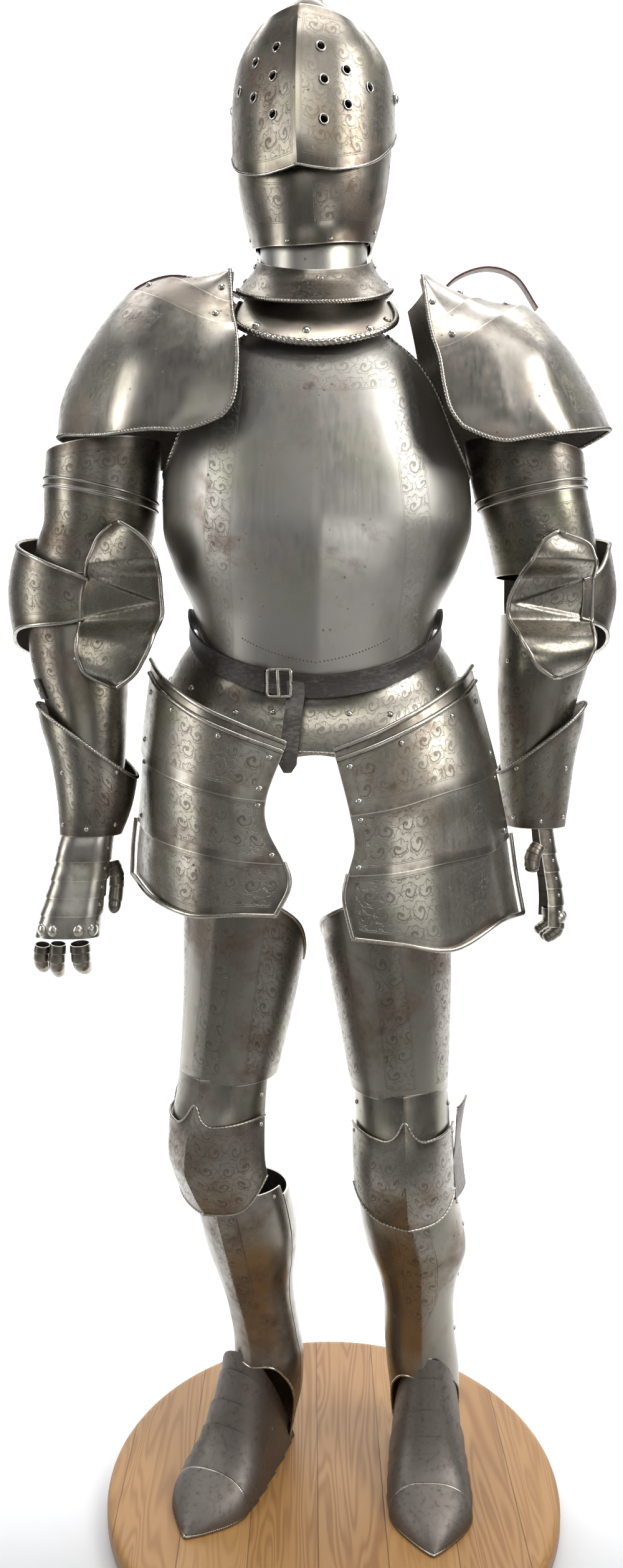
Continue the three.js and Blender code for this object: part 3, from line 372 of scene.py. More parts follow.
class Sheet:
    """Collects grids of wall plates into one mesh, with the plate map, rim distance and panel distance."""

    def __init__(self):
        self.v, self.f, self.m, self.uv, self.rim, self.panel, self.n = [], [], [], [], [], [], 0

    def wall(self, P, thick=1.6, off=0.0, closed=False, pole=False, flip=1, panel=None, bulge=None):
        P = np.asarray(P, float)
        R, C = P.shape[:2]
        N = normals(P, closed, flip, pole)
        if bulge is not None:
            P = P + N * bulge[..., None]
        wrap = np.concatenate([P, P[:, :1]], 1) if closed else P
        du = np.concatenate([np.zeros((R, 1)), np.cumsum(np.linalg.norm(np.diff(wrap, axis=1), axis=2), 1)], 1)
        mid = du[:, -1:] / 2
        dv = np.concatenate([np.zeros((1, wrap.shape[1])),
            np.cumsum(np.linalg.norm(np.diff(wrap, axis=0), axis=2), 0)])
        rim = np.minimum(dv, dv[-1:] - dv) if not pole else dv[-1:] - dv
        if not closed:
            rim = np.minimum(rim, np.minimum(du, du[:, -1:] - du))
        pan = np.full(rim.shape, -50.0) if panel is None else panel(du - mid, dv, rim,
            np.broadcast_to(mid, rim.shape), np.broadcast_to(dv[-1:], rim.shape))
        outer = P + N * off
        inner = P + N * (off - thick)
        base, W = self.n, R * C
        self.v += [outer.reshape(-1, 3), inner.reshape(-1, 3)]
        self.n += 2 * W
        self.rim += [rim[:, :C].ravel(), rim[:, :C].ravel()]
        self.panel += [pan[:, :C].ravel(), np.full(W, -50.0)]
        j, i = np.meshgrid(np.arange(R - 1), np.arange(C if closed else C - 1), indexing="ij")
        j, i = j.ravel(), i.ravel()
        k = (i + 1) % C
        at = lambda jj, ii, s: base + s * W + jj * C + ii
        quads = [(np.stack([at(j, i, 0), at(j + 1, i, 0), at(j + 1, k, 0), at(j, k, 0)], 1), 0,
            [(j, i), (j + 1, i), (j + 1, i + 1), (j, i + 1)]),
                 (np.stack([at(j, i, 1), at(j, k, 1), at(j + 1, k, 1), at(j + 1, i, 1)], 1), 1,
                 [(j, i), (j, i + 1), (j + 1, i + 1), (j + 1, i)])]
        c = np.arange(C if closed else C - 1)
        d = (c + 1) % C
        z = 0 * c
        if not pole:
            quads.append((np.stack([at(z, c, 0), at(z, d, 0), at(z, d, 1), at(z, c, 1)], 1), 0,
                [(z, c), (z, c + 1), (z, c + 1), (z, c)]))
        e = z + R - 1
        quads.append((np.stack([at(e, c, 0), at(e, c, 1), at(e, d, 1), at(e, d, 0)], 1), 0,
            [(e, c), (e, c), (e, c + 1), (e, c + 1)]))
        if not closed:
            r = np.arange(R - 1)
            z, e = 0 * r, 0 * r + C - 1
            quads.append((np.stack([at(r, z, 0), at(r, z, 1), at(r + 1, z, 1), at(r + 1, z, 0)], 1), 0,
                [(r, z), (r, z), (r + 1, z), (r + 1, z)]))
            quads.append((np.stack([at(r, e, 0), at(r + 1, e, 0), at(r + 1, e, 1), at(r, e, 1)], 1), 0,
                [(r, e), (r + 1, e), (r + 1, e), (r, e)]))
        first = quads[0][0]
        V = np.concatenate([outer.reshape(-1, 3), inner.reshape(-1, 3)])
        F = np.concatenate([q[0] for q in quads]) - base
        a, b, cc, dd = (V[F[:, n]] for n in range(4))
        vol = (np.cross(a, b) * cc).sum() + (np.cross(a, cc) * dd).sum()
        for q, mat, corners in quads:
            uv = np.stack([np.stack([(du - mid)[jj, ii], dv[jj, ii]], -1) for jj, ii in corners], 1)
            if vol < 0:
                q, uv = q[:, ::-1], uv[:, ::-1]
            self.f.append(q); self.uv.append(uv); self.m.append(np.full(len(q), mat))
        return self

    def piece(self, name, body, slot, nodes, look, merge=False):
        me = bpy.data.meshes.new(name)
        F = np.concatenate(self.f)
        V = np.concatenate(self.v) * MM
        me.vertices.add(len(V)); me.vertices.foreach_set("co", V.ravel())
        me.loops.add(F.size); me.loops.foreach_set("vertex_index", F.ravel())
        me.polygons.add(len(F)); me.polygons.foreach_set("loop_start", np.arange(0, F.size, 4))
        me.polygons.foreach_set("material_index", np.concatenate(self.m))
        me.update(calc_edges=True)
        me.uv_layers.new(name="plate").data.foreach_set("uv", (np.concatenate(self.uv) * MM).ravel())
        for word, data in (("rim", self.rim), ("panel", self.panel)):
            me.attributes.new(word, "FLOAT", "POINT").data.foreach_set("value",
                np.concatenate(data).astype(np.float32))
        if merge:
            b = bmesh.new(); b.from_mesh(me)
            bmesh.ops.remove_doubles(b, verts=b.verts, dist=2e-5)
            bmesh.ops.dissolve_degenerate(b, edges=b.edges, dist=1e-6)
            b.to_mesh(me); b.free()
        me.materials.append(look); me.materials.append(INNER)
        me.shade_smooth()
        me.set_sharp_from_angle(angle=38 * RAD)
        return hand_in(bpy.data.objects.new(name, me), body, nodes)


def hand_in(ob, body, nodes=()):
    if ob.name not in bpy.context.scene.collection.objects:
        bpy.context.scene.collection.objects.link(ob)
    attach(ob, body)
    if nodes:
        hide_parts(*nodes)
    return ob


def plate(name, P, look=STEEL, body="suit", slot="steel", nodes=None, merge=False, **how):
    return Sheet().wall(P, **how).piece(name + "_fine", body, slot, nodes if nodes is not None else [name],
        look, merge)


def inset(m):
    """Engraved all over, m millimetres in from the edge."""
    return lambda u, v, rim, U, V: rim - m


# ------------------------------------------------------------------ borders and rivets by geometry nodes
class Tree:
    """A geometry node tree with named inputs."""

    def __init__(self, name, **inputs):
        self.g = bpy.data.node_groups.new(name, "GeometryNodeTree")
        face = self.g.interface
        self.ids = {"Geometry": face.new_socket("Geometry", in_out="INPUT",
            socket_type="NodeSocketGeometry").identifier}
        for k, v in inputs.items():
            kind = "NodeSocketMaterial" if v is None else "NodeSocketInt" if isinstance(v,
                int) else "NodeSocketFloat"
            s = face.new_socket(k.replace("_", " "), in_out="INPUT", socket_type=kind)
            if v is not None:
                s.default_value = v
            self.ids[k] = s.identifier
        face.new_socket("Geometry", in_out="OUTPUT", socket_type="NodeSocketGeometry")
        self.enter, self.leave = self.g.nodes.new("NodeGroupInput"), self.g.nodes.new("NodeGroupOutput")
        self.given = {k: self.enter.outputs[i] for i, k in enumerate(self.ids)}

    def node(self, kind, settings=None, out=0, **values):
        n = self.g.nodes.new(kind)
        for k, v in (settings or {}).items():
            setattr(n, k, v)
        for k, v in values.items():
            s = n.inputs[int(k)] if k.isdigit() else n.inputs[k.replace("_", " ")]
            if isinstance(v, bpy.types.NodeSocket):
                self.g.links.new(v, s)
            else:
                s.default_value = v
        return n.outputs[out]

    def math(self, op, a, b=0.0):
        return self.node("ShaderNodeMath", {"operation": op}, **{"0": a, "1": b})

    def close(self, geometry):
        real = self.node("GeometryNodeRealizeInstances", Geometry=geometry)
        smooth = self.node("GeometryNodeSetShadeSmooth", Geometry=real)
        done = self.node("GeometryNodeSetMaterial", Geometry=smooth, Material=self.given["Material"])
        self.g.links.new(done, self.leave.inputs[0])
        return self

    def run(self, ob, name, **values):
        """The tree's result on ob as a plain mesh object."""
        mod = ob.modifiers.new("make", "NODES")
        mod.node_group = self.g
        for k, v in values.items():
            mod[self.ids[k]] = v
        bpy.context.view_layer.update()
        deps = bpy.context.evaluated_depsgraph_get()
        me = bpy.data.meshes.new_from_object(ob.evaluated_get(deps), depsgraph=deps)
        me.name = name
        ob.modifiers.remove(mod)
        bpy.data.objects.remove(ob)
        return bpy.data.objects.new(name, me)


def rope_tree():
    """A border along a line: a lobed rod that twists once every Pitch."""
    t = Tree("roped border", Radius=0.0022, Lobe=0.28, Strands=3, Pitch=0.014, Step=0.0013, Material=None)
    line = t.node("GeometryNodeMeshToCurve", Mesh=t.given["Geometry"])
    line = t.node("GeometryNodeResampleCurve", {"mode": "LENGTH"}, Curve=line, Length=t.given["Step"])
    line = t.node("GeometryNodeSetCurveNormal", {"mode": "MINIMUM_TWIST"}, Curve=line)
    length = t.node("GeometryNodeSplineParameter", out=1)
    tilt = t.math("MULTIPLY", t.math("DIVIDE", length, t.given["Pitch"]), 2 * math.pi)
    line = t.node("GeometryNodeSetCurveTilt", Curve=line, Tilt=tilt)
    rod = t.node("GeometryNodeCurvePrimitiveCircle", {"mode": "RADIUS"}, Resolution=11,
        Radius=t.given["Radius"])
    turn = t.math("MULTIPLY", t.node("GeometryNodeSplineParameter", out=0), 2 * math.pi)
    wave = t.math("ABSOLUTE", t.math("COSINE", t.math("MULTIPLY", turn,
        t.math("MULTIPLY", t.given["Strands"], 0.5))))
    part = t.math("SUBTRACT", 1.0, t.math("MULTIPLY", t.math("SUBTRACT", 1.0, wave), t.given["Lobe"]))
    spot = t.node("GeometryNodeInputPosition")
    spot = t.node("ShaderNodeVectorMath", {"operation": "SCALE"}, **{"0": spot, "Scale": part})
    rod = t.node("GeometryNodeSetPosition", Geometry=rod, Position=spot)
    body = t.node("GeometryNodeCurveToMesh", Curve=line, Profile_Curve=rod, Fill_Caps=True)
    return t.close(body)


def rivet_tree():
    """Domed heads on points: the point's vector `up` and number `size` turn and size each one."""
    t = Tree("rivet heads", Material=None)
    dome = t.node("GeometryNodeMeshUVSphere", Segments=12, Rings=7, Radius=1.0)
    dome = t.node("GeometryNodeTransform", Geometry=dome, Scale=(1, 1, 0.62))
    up = t.node("GeometryNodeInputNamedAttribute", {"data_type": "FLOAT_VECTOR"}, Name="up")
    size = t.node("GeometryNodeInputNamedAttribute", {"data_type": "FLOAT"}, Name="size")
    turn = t.node("FunctionNodeAlignRotationToVector", {"axis": "Z"}, Vector=up)
    heads = t.node("GeometryNodeInstanceOnPoints", Points=t.given["Geometry"], Instance=dome, Rotation=turn,
        Scale=size)
    return t.close(heads)


def eyelet_tree():
    """Raised rims round the breathing holes, on points with `up` and `size`."""
    t = Tree("hole rims", Thick=0.20, Material=None)
    ring_line = t.node("GeometryNodeCurvePrimitiveCircle", {"mode": "RADIUS"}, Resolution=28, Radius=1.0)
    rod = t.node("GeometryNodeCurvePrimitiveCircle", {"mode": "RADIUS"}, Resolution=10, Radius=t.given["Thick"])
    rim = t.node("GeometryNodeCurveToMesh", Curve=ring_line, Profile_Curve=rod)
    up = t.node("GeometryNodeInputNamedAttribute", {"data_type": "FLOAT_VECTOR"}, Name="up")
    size = t.node("GeometryNodeInputNamedAttribute", {"data_type": "FLOAT"}, Name="size")
    turn = t.node("FunctionNodeAlignRotationToVector", {"axis": "Z"}, Vector=up)
    rims = t.node("GeometryNodeInstanceOnPoints", Points=t.given["Geometry"], Instance=rim, Rotation=turn,
        Scale=size)
    return t.close(rims)


ROPE, RIVET, EYELET = rope_tree(), rivet_tree(), eyelet_tree()


def border(name, lines, body="suit", look=BORDER, radius=2.2, lobe=0.30, pitch=15.0, step=1.6,
        strands=3):
    """One roped or plain border object over several lines of points; a line is (points, closed)."""
    if lobe == 0.0:
        step = 2.6  # a smooth rolled border needs fewer rings than a rope
    V, E = [], []
    for points, closed in lines:
        n0, n = len(V), len(points)
        V += [tuple(np.asarray(p) * MM) for p in points]
        E += [(n0 + i, n0 + i + 1) for i in range(n - 1)] + ([(n0 + n - 1, n0)] if closed else [])
    me = bpy.data.meshes.new(name)
    me.from_pydata(V, E, [])
    ob = bpy.data.objects.new(name, me)
    bpy.context.scene.collection.objects.link(ob)
    made = ROPE.run(ob, name, Radius=radius * MM, Lobe=lobe, Strands=strands, Pitch=pitch * MM, Step=step * MM,
        Material=look)
    return hand_in(made, body)


def points_on(tree, name, spots, body="suit", slot="steel", look=BRIGHT, **values):
    """Heads or rims at spots: (place, outward direction, radius), in millimetres."""
    me = bpy.data.meshes.new(name)
    me.from_pydata([tuple(np.asarray(p) * MM) for p, _, _ in spots], [], [])
    me.attributes.new("up", "FLOAT_VECTOR", "POINT").data.foreach_set("vector",
        np.concatenate([np.asarray(u, float) for _, u, _ in spots]).astype(np.float32))
    me.attributes.new("size", "FLOAT", "POINT").data.foreach_set("value",
        np.array([r * MM for _, _, r in spots], np.float32))
    ob = bpy.data.objects.new(name, me)
    bpy.context.scene.collection.objects.link(ob)
    return hand_in(tree.run(ob, name, Material=look, **values), body)


def on_ring(surface, a, z, up=0.0):
    """Place and outward direction on a ring surface."""
    p = surface(a, z)
    da, dz = surface(a + 0.5, z) - surface(a - 0.5, z), surface(a, z + 1) - surface(a, z - 1)
    n = np.cross(da, dz); n = n / np.linalg.norm(n)
    return p + n * up, n


def on_net(table, u, v, flip, up=0.0):
    g = net(table, np.array([u - 0.01, u, u + 0.01]), np.array([v - 0.01, v, v + 0.01]))
    n = np.cross(g[2, 1] - g[0, 1], g[1, 2] - g[1, 0]) * flip; n = n / np.linalg.norm(n)
    return g[1, 1] + n * up, n


# ------------------------------------------------------------------ wooden base
BASE_R, BASE_T = 300, 30
prof = [(0.0, 0.0), (292, 0), (296, 1.2), (299, 4), (300, 8), (300, 20), (299.2, 24), (296.5, 27.6),
    (292, 29.5), (286, BASE_T), (0.0, BASE_T)]
me = bpy.data.meshes.new("base_fine")
N = 160
V = [(0, 0, 0)] + [(r * MM * math.cos(2 * math.pi * i / N), r * MM * math.sin(2 * math.pi * i / N), z * MM)
    for r, z in prof[1:-1] for i in range(N)] + [(0, 0, BASE_T * MM)]
F = [(0, 1 + (i + 1) % N, 1 + i) for i in range(N)]
F += [(1 + j * N + i, 1 + j * N + (i + 1) % N, 1 + (j + 1) * N + (i + 1) % N, 1 + (j + 1) * N + i)
    for j in range(len(prof) - 3) for i in range(N)]
F += [(1 + (len(prof) - 3) * N + i, 1 + (len(prof) - 3) * N + (i + 1) % N, len(V) - 1) for i in range(N)]
me.from_pydata(V, [], F)
me.materials.append(PINE)
me.shade_smooth(); me.set_sharp_from_angle(angle=50 * RAD)
hand_in(bpy.data.objects.new("base_fine", me), "suit", ["base"])

# ------------------------------------------------------------------ legs
# Sabaton. Columns: station from the toe, sole reach, ridge reach, half width, height.
FOOT = [
    [0, 271, 268, 0.8, 3], [0.5, 260, 257, 14, 13], [1, 247, 243, 27, 22], [2, 226, 220, 44, 33],
    [3, 203, 201, 52, 42],
    [4, 168, 182, 52, 54], [5, 130, 166, 50, 73], [6, 92, 150, 48, 104], [7, 62, 136, 44, 138],
    [8, 46, 126, 42, 162]]
HEEL = {"R": (-76, 130), "L": (134, 124)}
FOOT_YAW, LEG_YAW = {"R": 24, "L": 3}, {"R": 25, "L": 2}
# Rings of the leg, columns as in ring(): z, x, y, half width, front reach, back reach, front ridge.
SHIN = {
    "R": [[455, -124, -2, 57, 60, 60, 6], [420, -119, 4, 61, 62, 66, 8], [379, -113, 12, 62, 60, 70, 8],
          [330, -108, 22, 57, 53, 66, 7],
          [294, -104, 29, 49, 48, 58, 6], [249, -97, 36, 45, 44, 50, 5], [211, -91, 42, 45, 45, 47, 4],
          [173, -87, 46, 47, 52, 48, 2],
          [130, -88, 52, 47, 54, 48, 0], [75, -94, 62, 43, 52, 48, 0], [36, -98, 66, 40, 50, 46, 0]],
    "L": [[455, 93, -2, 60, 60, 60, 6], [420, 98, 4, 65, 62, 66, 8], [379, 105, 12, 67, 60, 70, 8],
          [341, 112, 20, 65, 54, 67, 7],
          [294, 115, 29, 52, 48, 58, 6], [249, 117, 36, 47, 44, 50, 5], [207, 119, 42, 48, 45, 47, 4],
          [160, 124, 46, 49, 52, 48, 2],
          [125, 127, 52, 48, 54, 48, 0], [75, 129, 60, 44, 52, 48, 0], [36, 131, 64, 41, 50, 46, 0]]}
KNEE = {
    "R": [[612, -135, -14, 65, 67, 60, 6], [575, -138, -15, 65, 74, 60, 8], [545, -140, -15, 66, 84, 58, 10],
          [505, -140, -15, 66, 90, 58, 12],
          [470, -136, -13, 65, 82, 58, 10], [432, -130, -9, 62, 70, 58, 6]],
    "L": [[595, 85, -14, 63, 67, 60, 6], [558, 87, -15, 64, 74, 60, 8], [525, 88, -15, 65, 84, 58, 10],
          [485, 89, -15, 66, 90, 58, 12],
          [450, 91, -13, 66, 82, 58, 10], [414, 94, -9, 64, 70, 58, 6]]}
THIGH = {
    "R": [[870, -101, -4, 86, 88, 82, 0], [797, -110, -6, 81, 82, 78, 2], [697, -120, -9, 72, 74, 70, 5],
          [640, -128, -12, 67, 69, 66, 5], [585, -137, -14, 62, 64, 62, 4]],
    "L": [[860, 60, -4, 86, 88, 82, 0], [790, 65, -6, 83, 84, 80, 2], [697, 74, -9, 75, 76, 72, 5],
          [640, 79, -12, 69, 70, 67, 5], [565, 85, -14, 61, 63, 61, 4]]}
LEG_EDGES = {
    "R": dict(cuisseTop=[[-115, 858], [-20, 856], [30, 838], [58, 818], [80, 796], [100, 766], [115, 742]],
              cuisse=597, lameTop=595, lame=566,
              capTop=[[-60, 553], [-25, 552], [-9, 562], [0, 578], [9, 562], [25, 552], [60, 553]],
              cap=[[-80, 468], [-45, 444], [0, 434], [45, 438], [80, 474]],
              shinTop=446, shinLow=[[-91, 66], [-72, 132], [-50, 168], [0, 181], [50, 168], [72, 132],
                        [91, 66]], wing=508),
    "L": dict(cuisseTop=[[-115, 742], [-100, 766], [-80, 790], [-58, 806], [-30, 824], [20, 842], [115, 846]],
              cuisse=578, lameTop=576, lame=547,
              capTop=[[-60, 534], [-25, 533], [-9, 543], [0, 559], [9, 543], [25, 533], [60, 534]],
              cap=[[-80, 452], [-45, 424], [0, 416], [45, 424], [80, 452]],
              shinTop=428, shinLow=[[-91, 66], [-72, 122], [-50, 154], [0, 166], [50, 154], [72, 122],
                        [91, 66]], wing=486)}
# places, directions and sizes of heads, handed in together once every plate is made
rivets, dark_rivets = [], []


def foot_surface(S):
    q = FOOT_YAW[S] * RAD
    way, across, (hx, hy) = (-math.sin(q), -math.cos(q)), (math.cos(q), -math.sin(q)), HEEL[S]

    def at(a, key):
        a, key = np.broadcast_arrays(np.asarray(a, float), np.asarray(key, float))
        g, t, w, h = [read(FOOT, key, c) for c in (1, 2, 3, 4)]
        c, s = np.maximum(0, np.cos(a * RAD)) ** 0.85, np.sign(a) * np.abs(np.sin(a * RAD)) ** 0.8
        d = g + (t - g) * c
        return np.stack([hx + way[0] * d + across[0] * w * s, hy + way[1] * d + across[1] * w * s,
            BASE_T + 1 + h * c], -1)
    return at


for S in "RL":
    E, yaw, foot, out = LEG_EDGES[S], LEG_YAW[S], foot_surface(S), -1 if S == "R" else 1
    shin, knee, thigh = ring(SHIN[S], yaw, 40), ring(KNEE[S], yaw, 34), ring(THIGH[S], yaw, 40)
    wide = np.linspace(-90, 90, 61)
    grid = lambda f, keys: np.stack([f(wide, k) for k in keys])
    cap = grid(foot, np.linspace(0, 3, 30))
    plate(f"toe_cap_{S}", cap, BROWNED, slot="dark_steel", panel=inset(13))
    keys = np.linspace(3, 0.02, 50)
    edge_line = np.concatenate([foot(-90.0, keys), foot(90.0, keys[::-1])]) + (0, 0, 1.6)
    border(f"toe_rim_{S}", [(edge_line, False), (foot(np.linspace(-84, 84, 50), 2.96) + (0, 0, 0.3), False)],
        radius=1.9, lobe=0.0)
    lames = Sheet()
    for n, (a, b) in enumerate([(3.05, 3.75), (3.65, 4.45), (4.35, 5.2), (5.1, 6.05), (5.95, 7.1), (6.95, 8)]):
        lames.wall(grid(foot, np.linspace(a, b, 12)), off=-1.2, thick=1.4,
            bulge=np.repeat(np.linspace(1.7, -1.3, 12)[:, None], 61, 1))
        for m in (-1, 1):
            p = foot(np.array([m * 66.0 - 2, m * 66.0 + 2]), np.array([a + 0.32, a + 0.34]))
            d = p[0] - foot(0.0, a) * (1, 1, 0) - (0, 0, p[0][2] - 20)
            rivets.append((p[0], d / np.linalg.norm(d), 2.6))
    lames.piece(f"instep_{S}_fine", "suit", "dark_steel", [f"instep_{S}"], BROWNED)
    A = np.linspace(-91, 91, 73)
    shin_bands = lambda u, v, rim, U, V: (np.maximum(np.minimum(24 - np.abs(u), rim - 12), 0) - 0.01
                                          + np.minimum(0, 46 - np.hypot(u, (v - 90) * 0.62)))
    plate(f"greave_front_{S}", cut(shin, A, E["shinTop"], E["shinLow"], 65), LEG_STEEL, thick=2.0,
        panel=shin_bands)
    plate(f"greave_back_{S}", cut(shin, np.linspace(93.5, 266.5, 61), E["shinTop"] - 14, 34, 43), LEG_STEEL,
        thick=2.0)
    border(f"ankle_rim_{S}", [(shin(A, edge(E["shinLow"])(A) + 1), False)], radius=1.7, lobe=0.0, look=BRIGHT)
    plate(f"cuisse_{S}", cut(thigh, np.linspace(-115, 115, 77), E["cuisseTop"], E["cuisse"], 50), LEG_STEEL,
        thick=2.0, panel=lambda u, v, rim, U, V: np.maximum(np.minimum(rim - 16, 20 - np.abs(u)),
        np.minimum(rim - 16, np.abs(u) - 52)))
    A = np.linspace(-115, 115, 90)
    border(f"cuisse_rim_{S}", [(thigh(A, edge(E["cuisseTop"])(A) - 1), False)], radius=2.6, lobe=0.0)
    plate(f"knee_lame_{S}", cut(knee, np.linspace(-84, 84, 61), E["lameTop"] + 12, E["lame"] - 18, 18),
        LEG_STEEL, off=-3.8)
    whole = Sheet().wall(cut(knee, np.linspace(-80, 80, 81), E["capTop"], E["cap"], 36), panel=inset(9))
    row, c, s = KNEE[S][3], math.cos(yaw * RAD), math.sin(yaw * RAD)
    v, u = np.meshgrid(np.linspace(-1, 1, 33), np.linspace(0, 1, 21), indexing="ij")
    r = np.sqrt(1 - v * v * 0.72)
    px, py = out * (row[3] - 4 + 26 * u - 9 * u * u + 6 * np.abs(v)), -24 + 88 * (0.5 + (u - 0.5) * r)
    W = np.stack([row[1] + px * c + py * s, row[2] - px * s + py * c, E["wing"] + v * 60], -1)
    whole.wall(W, flip=out, panel=inset(6))
    whole.piece(f"poleyn_{S}_fine", "suit", "steel", [f"poleyn_{S}"], LEG_STEEL)
    border(f"wing_rim_{S}", [(np.concatenate([W[0, ::3], W[:, -1], W[-1, ::-3]]), False)], radius=1.8, lobe=0.0)
    A = np.linspace(-80, 80, 90)
    border(f"knee_rims_{S}", [(knee(A, edge(E["capTop"])(A)), False), (knee(A, edge(E["cap"])(A)), False)],
        radius=1.7, lobe=0.25)
    for a in (-74, 74):
        for z in (E["capTop"][0][1] - 9, E["lame"] + 14):
            rivets.append((*on_ring(knee, a, z, 0 if z < E["lame"] else -3.0), 3.2))
        rivets.append((*on_ring(shin, a, E["shinTop"] - 9), 2.8))
    for z in (380, 300, 215):
        rivets.append((*on_ring(shin, 84 * out, z), 3.4))

# ------------------------------------------------------------------ torso
# Rings of the body. SKIRT and BELT count z from the waist line.
TORSO = [
    [1530, -24, 18, 84, 80, 90, 0], [1504, -24, 18, 96, 104, 98, 1], [1465, -24, 18, 138, 132, 106, 2],
    [1400, -24, 18, 172, 154, 118, 4],
    [1340, -23, 18, 188, 163, 120, 6], [1284, -22, 18, 191, 164, 120, 8], [1230, -23, 18, 176, 156, 114, 8],
    [1173, -24, 18, 150, 140, 106, 7],
    [1116, -24, 18, 147, 124, 104, 5], [1088, -24, 18, 147, 117, 104, 3]]
SKIRT = [[0, -24, 18, 147, 117, 104, 2], [-22, -24, 18, 153, 124, 110, 1], [-50, -24, 18, 171, 143, 124, 0],
    [-88, -25, 16, 189, 162, 140, 0]]
BELT = [[14, -24, 18, 160, 129, 121, 0], [0, -24, 18, 158, 127, 119, 0], [-14, -24, 18, 159, 129, 120, 0]]


def waist(a):
    b = np.abs(around_front(a))
    return 83 * np.minimum(b / 90, 1) ** 1.7


waist_line = lambda a: 1087 + waist(a)
torso = ring(TORSO, ridge=20, square=2.15)
side = [[1090, 91], [1284, 91], [1304, 76], [1330, 67], [1400, 60], [1440, 55], [1488, 46]]
breast = cut(torso, np.linspace(-90, 90, 97), [[-60, 1512], [-30, 1494], [0, 1488], [30, 1494], [60, 1512]],
             [[-90, 1173], [-60, 1132], [-30, 1103], [0, 1090], [30, 1103], [60, 1132], [90, 1173]], 63, side)
plate("breastplate", breast, CHEST, thick=2.0, panel=lambda u, v, rim, U, V: np.maximum(
    np.minimum(19 - np.abs(np.abs(u) - 96 - 0.10 * np.minimum(v, 260)), rim - 10),
    np.minimum(np.minimum(rim - 12, 22 - np.abs(v - 62)), 110 - np.abs(u))))
border("armhole_ropes", [(breast[2:38, 0], False), (breast[2:38, -1], False)], radius=3.0, pitch=16)
plate("backplate", cut(torso, np.linspace(92.4, 267.6, 91), 1480, 1175, 43), thick=2.0)
skirt = ring(SKIRT, ridge=20, square=2.1, lift=waist_line)
hemline = [[-180, -74], [-90, -74], [-30, -80], [-12, -80], [0, -74], [12, -80], [30, -80], [90, -74],
    [180, -74]]
A = np.linspace(-180, 180, 181)[:-1]
plate("fauld", cut(skirt, A, 0, hemline, 20), closed=True, thick=2.0, panel=lambda u, v, rim, U, V: rim - 11)
border("fauld_rim", [(skirt(A, read(hemline, A, 1)), True)], radius=2.6, lobe=0.0)
border("fork_rope", [(skirt(np.linspace(-17, 11, 30), -80 + 7 * np.cos(np.linspace(-1.4, 1.4, 30)))
    + (0, -2, 0), False)], radius=2.4)
for a, z in ((-33, -44), (-17, -33), (13, -33), (30, -44), (-62, -46), (60, -46)):
    rivets.append((*on_ring(skirt, a, z), 4.0))
punch = [(*on_ring(torso, a, 1116 + 12 * (abs(a) / 30) + (a * a) * 0.012, -0.2), 1.1)
    for a in np.linspace(-34, 34, 45)]
points_on(RIVET, "breast_punch_line", punch, look=INNER)

belt_path = ring(BELT, square=2.1, lift=waist_line)
strap = Sheet().wall(cut(belt_path, A, 13, -12, 6), closed=True, thick=3.0)
tail = np.array([[-48, -103, 1094], [-47, -116, 1078], [-50, -132, 1055], [-53, -140, 1030], [-55, -148, 1010],
    [-56, -153, 992]], float)
tail = along(tail, np.linspace(0, 1, 40))
tw = np.minimum(10, 4 + np.linspace(1, 0, 40) * 60)
strap.wall(np.stack([np.stack([tail[:, 0] + k * tw, tail[:, 1] - 2 - 0.6 * (1 - k * k), tail[:, 2]], -1)
    for k in np.linspace(-1, 1, 7)], 1), thick=3.0, off=2)
strap.piece("belt_fine", "suit", "leather", ["belt"], LEATHER)
corner = lambda cx, cy, w, h, y: [(cx + w * max(-1, min(1, 1.35 * math.cos(t))),
    y - 0.06 * (w * max(-1, min(1, 1.35 * math.cos(t)))), cy + h * max(-1, min(1, 1.35 * math.sin(t))))
    for t in np.linspace(0, 2 * math.pi, 49)[:-1]]
border("buckle_fine", [(corner(-66, 1092, 13.5, 15.5, -123.4), True),
    ([(-66, -125.5, 1077), (-67, -126.2, 1092), (-68, -125.0, 1107)], False)], radius=2.2, lobe=0.0)
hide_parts("buckle")
keeper = Sheet().wall(np.stack([belt_path(np.linspace(-29, -21, 9), z) for z in np.linspace(14, -13, 9)]),
    thick=2.4, off=3.0)
keeper.piece("belt_keeper", "suit", "leather", [], LEATHER)

